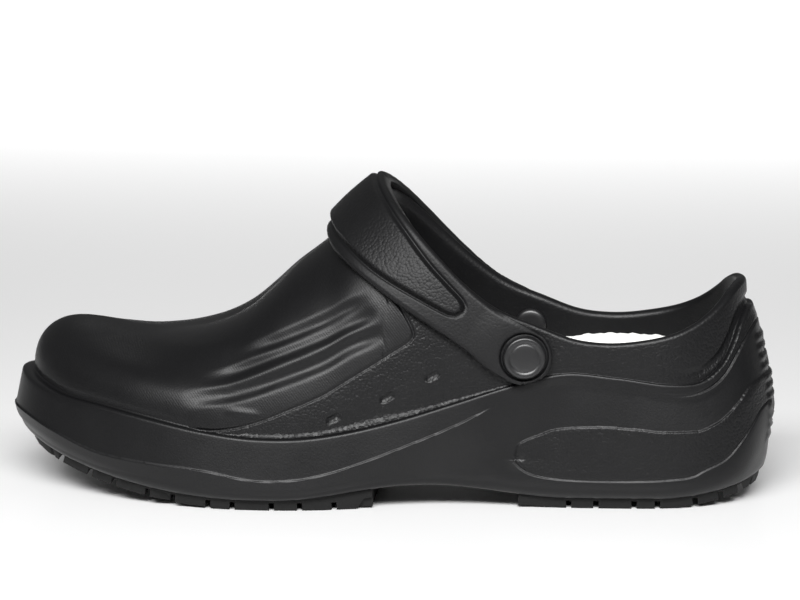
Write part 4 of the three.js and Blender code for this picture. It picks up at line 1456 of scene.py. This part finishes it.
@dataclass
class HeelStrap:
    """The foam strap over the instep, with its raised pad, its beaded rear edge and a round end at each button.

    Attributes:
        gap: from the upper.
        thickness: of the band.
        pad_rise: height of the pad over the band.
        bead_rise: height of the rear bead over the band.
        bead_taper: angle round the foot over which the bead rises at each end.
        end_radius: of the round ends.
        apex_station: where the strap crosses the ridge.
        edge_round: radius of the rounded edges.
        rows: faces from end to end.
        columns: faces across.
        smoothing: passes that even out the base.
        lift: height of the flat ends over the buttons' seats.
        flat_reach: radius round a button within which the strap is flat.
        flat_blend: width over which it bends from there on.
    """

    crust: Crust
    gap: float = 0.4 * MM
    thickness: float = 4.2 * MM
    pad_rise: float = 2.8 * MM
    bead_rise: float = 1.6 * MM
    bead_taper: float = 0.35
    end_radius: float = 10.3 * MM
    apex_station: float = 0.545
    edge_round: float = 1.9 * MM
    rows: int = 400
    columns: int = 66
    smoothing: int = 20
    lift: float = 0.7 * MM
    flat_reach: float = 9.5 * MM
    flat_blend: float = 13 * MM

    @cached_property
    def centre(self) -> Place:
        """Middle of the round end, seen from the side."""
        return BUTTONS.seat(Side.LATERAL).translation.x, BUTTONS.height

    def seen(self, table: Sequence[Place], steps: int = 60) -> list[Place]:
        """A table's smooth curve as places along and up."""
        x, z = self.centre
        along = LAST.x_at(self.apex_station) - x
        return [(x + along * a, mix(z, LAST.instep_height, u)) for a, u in spline(table, steps)]

    def round_end(self, last: Place) -> list[Place]:
        """The round end from its lowest point to where a straight edge leaves it."""
        x, z = self.centre
        until = math.atan2(last[0] - x, z - last[1])
        lead = math.acos(min(1.0, self.end_radius / math.dist(last, (x, z))))
        until -= math.copysign(lead, until)
        steps = 60
        turns = [until * step / steps for step in range(3, steps)]
        return [(x + self.end_radius * math.sin(t), z - self.end_radius * math.cos(t)) for t in turns]

    def edge(self, side: Side, table: Sequence[Place], ended: bool = False) -> list[tuple[float, float]]:
        """An edge as pairs of the angle round the foot and the place along the shoe, from the button up."""
        line = self.seen(table)
        if ended:
            line = self.round_end(line[0]) + line
        made = []
        for x, z in line:
            point = self.crust.beside(side, x, z)
            if point is None:
                break
            turn = self.crust.turn(point)
            made.append((turn if side is Side.LATERAL else math.pi - turn, x))
        return made

    def both(self, table: Sequence[Place], ended: bool = False) -> list[tuple[float, float]]:
        """An edge from the outer button over the ridge to the inner one."""
        inner = self.edge(Side.MEDIAL, table, ended)
        return self.edge(Side.LATERAL, table, ended) + [(math.pi - turn, x) for turn, x in reversed(inner)]

    @staticmethod
    def along(line: Sequence[tuple[float, float]], turn: float) -> float:
        """Place along the shoe of an edge at an angle round the foot."""
        turns = [pair[0] for pair in line]
        i = clamp(bisect_left(turns, turn), 1, len(line) - 1)
        (before, start), (after, end) = line[i - 1], line[i]
        share = clamp((turn - before) / max(after - before, 1e-9), 0.0, 1.0)
        return mix(start, end, share)

    def trail(self, line: Sequence[tuple[float, float]], steps: int = 900) -> Trail:
        """A line's points on the upper, evenly many round the foot."""
        low, high = line[0][0], line[-1][0]
        turns = [mix(low, high, step / steps) for step in range(steps + 1)]
        return Trail([self.crust.around(self.along(line, turn), turn) for turn in turns])

    def build(self) -> bpy.types.Object:
        """Model the strap."""
        front, rear = self.both(STRAP_FRONT, True), self.both(STRAP_REAR, True)
        pad_front, pad_rear = self.both(PAD_FRONT), self.both(PAD_REAR)
        bead = self.both(BEAD_FRONT)
        rim = Trail(self.trail(front).points + self.trail(rear).points)
        pad_rim = Trail(self.trail(pad_front).points + self.trail(pad_rear).points)
        bead_rim = self.trail(bead)
        low, high = max(front[0][0], rear[0][0]), min(front[-1][0], rear[-1][0])
        band = bmesh.new()
        band.verts.layers.int.new("key")
        band.verts.layers.float.new("pebble")
        bmesh.ops.create_grid(band, x_segments=self.columns, y_segments=self.rows, size=0.5)
        place = {}
        crowd = 0.92
        for vertex in band.verts:
            across, share = round(vertex.co.x + 0.5, 6), round(vertex.co.y + 0.5, 6)
            eased = share - crowd * math.sin(TAU * share) / TAU * 0.5
            turn = mix(low, high, eased)
            x = mix(self.along(front, turn), self.along(rear, turn), across)
            place[vertex] = (x, turn)
            vertex.co = self.crust.around(x, turn)
        self.smooth_base(band)
        self.flatten_ends(band)
        band.normal_update()
        grain = band.verts.layers.float["pebble"]
        out = {}
        height = {}
        for vertex in band.verts:
            x, turn = place[vertex]
            way = vertex.normal.copy()
            if way.dot(vertex.co - Vector((x, self.crust.hub, self.crust.hub_height))) < 0:
                way = -way
            out[vertex] = way
            on_pad = min(x - self.along(pad_front, turn), self.along(pad_rear, turn) - x)
            padded = pad_front[0][0] < turn < pad_front[-1][0] and on_pad > 0
            beaded = bead[0][0] < turn < bead[-1][0] and x > self.along(bead, turn)
            pad_gap = pad_rim.near(vertex.co)[0]
            bead_gap = bead_rim.near(vertex.co)[0]
            rise = self.thickness
            rise += self.pad_rise * smooth((pad_gap if padded else -pad_gap) / (2.2 * MM) + 0.3)
            taper = smooth((turn - bead[0][0]) / self.bead_taper) * smooth((bead[-1][0] - turn) / self.bead_taper)
            rise += self.bead_rise * taper * smooth((bead_gap if beaded else -bead_gap) / (1.6 * MM) + 0.5)
            rise -= self.ring(vertex.co)
            groove = pad_gap / (1.2 * MM)
            if groove < 1:
                rise -= 0.9 * MM * (1 - groove * groove) ** 2
            gap = rim.near(vertex.co)[0]
            if gap < self.edge_round:
                rise -= self.edge_round - math.sqrt(self.edge_round**2 - (self.edge_round - gap) ** 2)
            height[vertex] = rise
            vertex[grain] = 0.35 + 0.65 * smooth((pad_gap if padded else -pad_gap) / MM)
        for vertex, way in out.items():
            vertex.co += way * self.gap
        self.thicken(band, out, height)
        return finish_mesh("strap", band, STRAP_FOAM)

    def smooth_base(self, band: bmesh.types.BMesh) -> None:
        """Even out the base, its edges along themselves, where it passes over the foxing's rim."""
        rim = [v for v in band.verts if v.is_boundary]
        field = [v for v in band.verts if not v.is_boundary]
        beside = {v: [e.other_vert(v) for e in v.link_edges if e.is_boundary] for v in rim}
        for _ in range(self.smoothing):
            bmesh.ops.smooth_vert(
                band, verts=field, factor=0.5, use_axis_x=True, use_axis_y=True, use_axis_z=True
            )
            moved = {v: (v.co * 2 + near[0].co + near[1].co) / 4 for v, near in beside.items()}
            for vertex, place in moved.items():
                vertex.co.y = place.y

    def flatten_ends(self, band: bmesh.types.BMesh) -> None:
        """Lay the base flat on each button's seat."""
        for side in Side:
            seat = BUTTONS.seat(side)
            to_seat = seat.inverted()
            for vertex in band.verts:
                place = to_seat @ vertex.co
                radius = math.hypot(place.x, place.y)
                if radius < self.flat_reach + self.flat_blend and abs(place.z) < self.flat_blend:
                    place.z = mix(self.lift, place.z, smooth((radius - self.flat_reach) / self.flat_blend))
                    vertex.co = seat @ place

    def ring(self, point: Vector) -> float:
        """Depth of the round groove beside each cap and of the seat under it."""
        depth = 0.0
        for side in Side:
            radius = (point - BUTTONS.seat(side).translation).length
            gap = abs(radius - 8.5 * MM) / (0.9 * MM)
            if gap < 1:
                depth += 1.1 * MM * (1 - gap * gap) ** 2
            depth += 0.3 * MM * smooth((8.5 * MM - radius) / MM + 0.5)
        return depth

    def thicken(self, band: bmesh.types.BMesh, out: dict, height: dict) -> None:
        """Give the band its outer face, a copy of the inner one moved out, and its side walls."""
        key = band.verts.layers.int["key"]
        for index, vertex in enumerate(out):
            vertex[key] = index
        heights = [height[vertex] for vertex in out]
        outward = list(out.values())
        made = bmesh.ops.extrude_face_region(band, geom=band.faces[:], use_keep_orig=True)
        for item in made["geom"]:
            if isinstance(item, bmesh.types.BMVert):
                item.co += outward[item[key]] * heights[item[key]]
        bmesh.ops.remove_doubles(band, verts=band.verts, dist=0.01 * MM)
        bmesh.ops.recalc_face_normals(band, faces=band.faces)


@dataclass
class Insole:
    """The loose white insole, nubbed on top, with its cupped edge round the heel.

    Attributes:
        gap: from the footbed.
        side_gap: from the wall.
        thickness: of the foam.
        rim: thickness of the cupped edge.
        nub_pitch: distance from nub to nub.
        nub_height: height of a nub.
        columns: faces round the shoe.
    """

    gap: float = 0.3 * MM
    side_gap: float = 0.4 * MM
    thickness: float = 4.5 * MM
    rim: float = 3 * MM
    nub_pitch: float = 4.4 * MM
    nub_height: float = 0.5 * MM
    columns: int = 420

    def cup(self, cut: Section, back: float) -> Vector:
        """Point of the cupped edge's top, some way in from the wall."""
        point = cut.inset(cut.ledge_back + LAST.wall + back)
        point.z = LAST.seat_height * FOOTBED.at("cup", cut.station)
        return point

    def inner(self, cut: Section, t: float) -> Vector:
        """Point of the hollow side of the cup, from its edge down to the top."""
        start = self.cup(cut, self.side_gap + self.rim)
        end = cut.bed(1.0, 2 * LAST.seat_fillet, self.gap + self.thickness)
        low = cut.bed(1.0, self.side_gap + self.rim + MM, self.gap + self.thickness)
        low.z = mix(low.z, start.z, 0.15)
        return start * (1 - t) ** 2 + low * 2 * t * (1 - t) + end * t * t

    def lanes(self) -> list[Lane]:
        """Lanes from the underside's centre line round the edge to the top's centre line."""
        fillet = LAST.seat_fillet

        def corner(cut: Section, t: float) -> Vector:
            turn = (1 - t) * math.pi / 2
            back = mix(self.side_gap, fillet, 1 - math.cos(turn))
            return cut.bed(1.0, back, mix(self.gap, fillet, 1 - math.sin(turn)))

        def brim(cut: Section, t: float) -> Vector:
            point = self.cup(cut, self.side_gap + self.rim * (1 - math.cos(t * math.pi)) / 2)
            return point + Vector((0.0, 0.0, 0.8 * MM * math.sin(t * math.pi)))

        return [
            Lane(3, lambda cut, t: cut.bed(t, fillet, self.gap)),
            Lane(3, corner),
            Lane(4, lambda cut, t: cut.bed(1.0, self.side_gap, fillet).lerp(self.cup(cut, self.side_gap), t)),
            Lane(5, brim),
            Lane(10, self.inner),
            Lane(34, lambda cut, t: cut.bed(1 - t, 2 * fillet, self.gap + self.thickness)),
        ]

    def nub(self, point: Vector) -> float:
        """Height of the nubs at a point, on a net of triangles."""
        turn = TAU / self.nub_pitch
        waves = (0.0, math.pi / 3, 2 * math.pi / 3)
        height = sum(math.cos(turn * (point.x * math.cos(w) + point.y * math.sin(w))) for w in waves)
        return self.nub_height * smooth((height + 1) / 3)

    def build(self) -> bpy.types.Object:
        """Model the insole."""
        sole = bmesh.new()
        Skin(self.lanes(), self.columns).bend(sole)
        bmesh.ops.remove_doubles(sole, verts=sole.verts, dist=0.004 * MM)
        bmesh.ops.recalc_face_normals(sole, faces=sole.faces)
        sole.normal_update()
        moves = [(v, v.normal * self.nub(v.co) * smooth(v.normal.z * 2)) for v in sole.verts if v.normal.z > 0]
        for vertex, move in moves:
            vertex.co += move
        return finish_mesh("insole_top", sole, LINING)


@dataclass
class TreadPad:
    """A rubber tread pad: the solid's plate and lugs with their moulded edges rounded.

    Attributes:
        node: the solid.
        edge_round: radius of the lugs' edges.
    """

    node: str
    edge_round: float = 0.55 * MM

    def build(self) -> bpy.types.Object:
        """Round a copy of the solid."""
        pad = bmesh.new()
        pad.from_mesh(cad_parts[self.node].data)
        bmesh.ops.remove_doubles(pad, verts=pad.verts, dist=0.005 * MM)
        bmesh.ops.dissolve_limit(pad, angle_limit=math.radians(1.5), verts=pad.verts, edges=pad.edges)
        sharp = [e for e in pad.edges if e.is_manifold and e.calc_face_angle(0.0) > math.radians(35)]
        bmesh.ops.bevel(
            pad,
            geom=sharp,
            affect="EDGES",
            offset=self.edge_round,
            segments=2,
            profile=0.5,
            material=-1,
            clamp_overlap=True,
        )
        bmesh.ops.triangulate(pad, faces=pad.faces)
        bmesh.ops.translate(pad, verts=pad.verts, vec=LAST.origin)
        return finish_mesh(f"tread_{self.node.removeprefix('outsole_')}", pad, TREAD)


@dataclass(frozen=True)
class Softbox:
    """A softbox.

    Attributes:
        name: lamp's name.
        place: middle of the box.
        target: place that it faces.
        width: length from left to right.
        depth: its other length.
        power: in watts.
        spread: angle of the light that its grid lets out, in degrees.
    """

    name: str
    place: tuple[float, float, float]
    target: tuple[float, float, float]
    width: float
    depth: float
    power: float
    spread: float = 180.0


@dataclass(frozen=True)
class Studio:
    """White floor, soft light and the camera at the photo's angle to the clog.

    Attributes:
        azimuth: camera's turn from the outer side towards the heel, in degrees.
        elevation: its height angle, in degrees.
        distance: from the target.
        target: point in the middle of the picture, in the last's own axes.
        scale: picture's pixels per metre at the target, 800 pixels wide.
    """

    azimuth: float = 4.0
    elevation: float = 10.0
    distance: float = 1.5
    target: tuple[float, float, float] = (4.19 * MM, 0.0, 72.1 * MM)
    scale: float = 2635.0
    picture: float = 800.0
    sensor: float = 36.0
    lights: tuple[Softbox, ...] = (
        Softbox("key", (0.0, -1.1, 0.9), (0.0, 0.0, 0.03), 1.5, 0.4, 8.6, 70),
        Softbox("floor_wash", (0.0, 2.1, 1.6), (0.0, 2.1, 0.0), 2.6, 1.7, 52, 90),
    )
    surround: float = 0.16

    def camera(self) -> None:
        """Place the camera."""
        turn, rise = math.radians(self.azimuth), math.radians(self.elevation)
        back = Vector((math.sin(turn) * math.cos(rise), -math.cos(turn) * math.cos(rise), math.sin(rise)))
        lens = bpy.data.cameras.new("camera")
        lens.sensor_width = self.sensor
        lens.lens = self.scale * self.distance / self.picture * self.sensor
        lens.clip_start = 0.05
        lens.clip_end = 50
        camera = bpy.data.objects.new("camera", lens)
        camera.location = Vector(self.target) - LAST.origin + back * self.distance
        camera.rotation_euler = back.to_track_quat("Z", "Y").to_euler()
        bpy.context.scene.collection.objects.link(camera)
        bpy.context.scene.camera = camera

    def lamp(self, box: Softbox) -> None:
        """Hang a softbox."""
        light = bpy.data.lights.new(box.name, "AREA")
        light.shape = "RECTANGLE"
        light.size = box.width
        light.size_y = box.depth
        light.energy = box.power
        light.spread = math.radians(box.spread)
        lamp = bpy.data.objects.new(box.name, light)
        lamp.location = box.place
        lamp.rotation_euler = (Vector(box.place) - Vector(box.target)).to_track_quat("Z", "Y").to_euler()
        bpy.context.scene.collection.objects.link(lamp)

    def build(self) -> None:
        """Set up floor, light and camera."""
        room = bmesh.new()
        bmesh.ops.create_grid(room, x_segments=1, y_segments=1, size=6)
        mesh = bpy.data.meshes.new("floor")
        room.to_mesh(mesh)
        room.free()
        material, tree = new_material("white_table")
        shader = add(tree, "ShaderNodeBsdfPrincipled", Base_Color=linear("f7f7f7"), Roughness=0.3)
        add(tree, "ShaderNodeOutputMaterial", Surface=shader.outputs[0])
        mesh.materials.append(material)
        floor = bpy.data.objects.new("floor", mesh)
        bpy.context.scene.collection.objects.link(floor)
        world = bpy.data.worlds.new("studio")
        world.use_nodes = True
        world.node_tree.nodes["Background"].inputs["Color"].default_value = (1, 1, 1, 1)
        world.node_tree.nodes["Background"].inputs["Strength"].default_value = self.surround
        bpy.context.scene.world = world
        bpy.context.scene.view_settings.view_transform = "Standard"
        for box in self.lights:
            self.lamp(box)
        self.camera()


def main() -> None:
    """Build the clog piece by piece, then the studio."""
    logging.basicConfig(level=logging.INFO, format="%(name)s: %(message)s")
    Studio().build()
    strap = HeelStrap(Crust())
    seat = strap.gap + strap.thickness + strap.lift
    pieces = [
        (Shell().build(), "clog_body", "foam"),
        (strap.build(), "heel_strap", "strap_foam"),
        (Insole().build(), "insole", "insole_foam"),
        (TreadPad("outsole_forefoot").build(), "outsole_forefoot", "tread_rubber"),
        (TreadPad("outsole_heel").build(), "outsole_heel", "tread_rubber"),
    ]
    for side in Side:
        name = side.name.lower()
        pieces.append((BUTTONS.cap(side, seat), f"button_cap_{name}", "button_plastic"))
        pieces.append((BUTTONS.stud(side), f"button_stud_{name}", "button_plastic"))
    for piece, node, slot in pieces:
        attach(piece, "root")
        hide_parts(node)


if __name__ == "__main__":
    main()
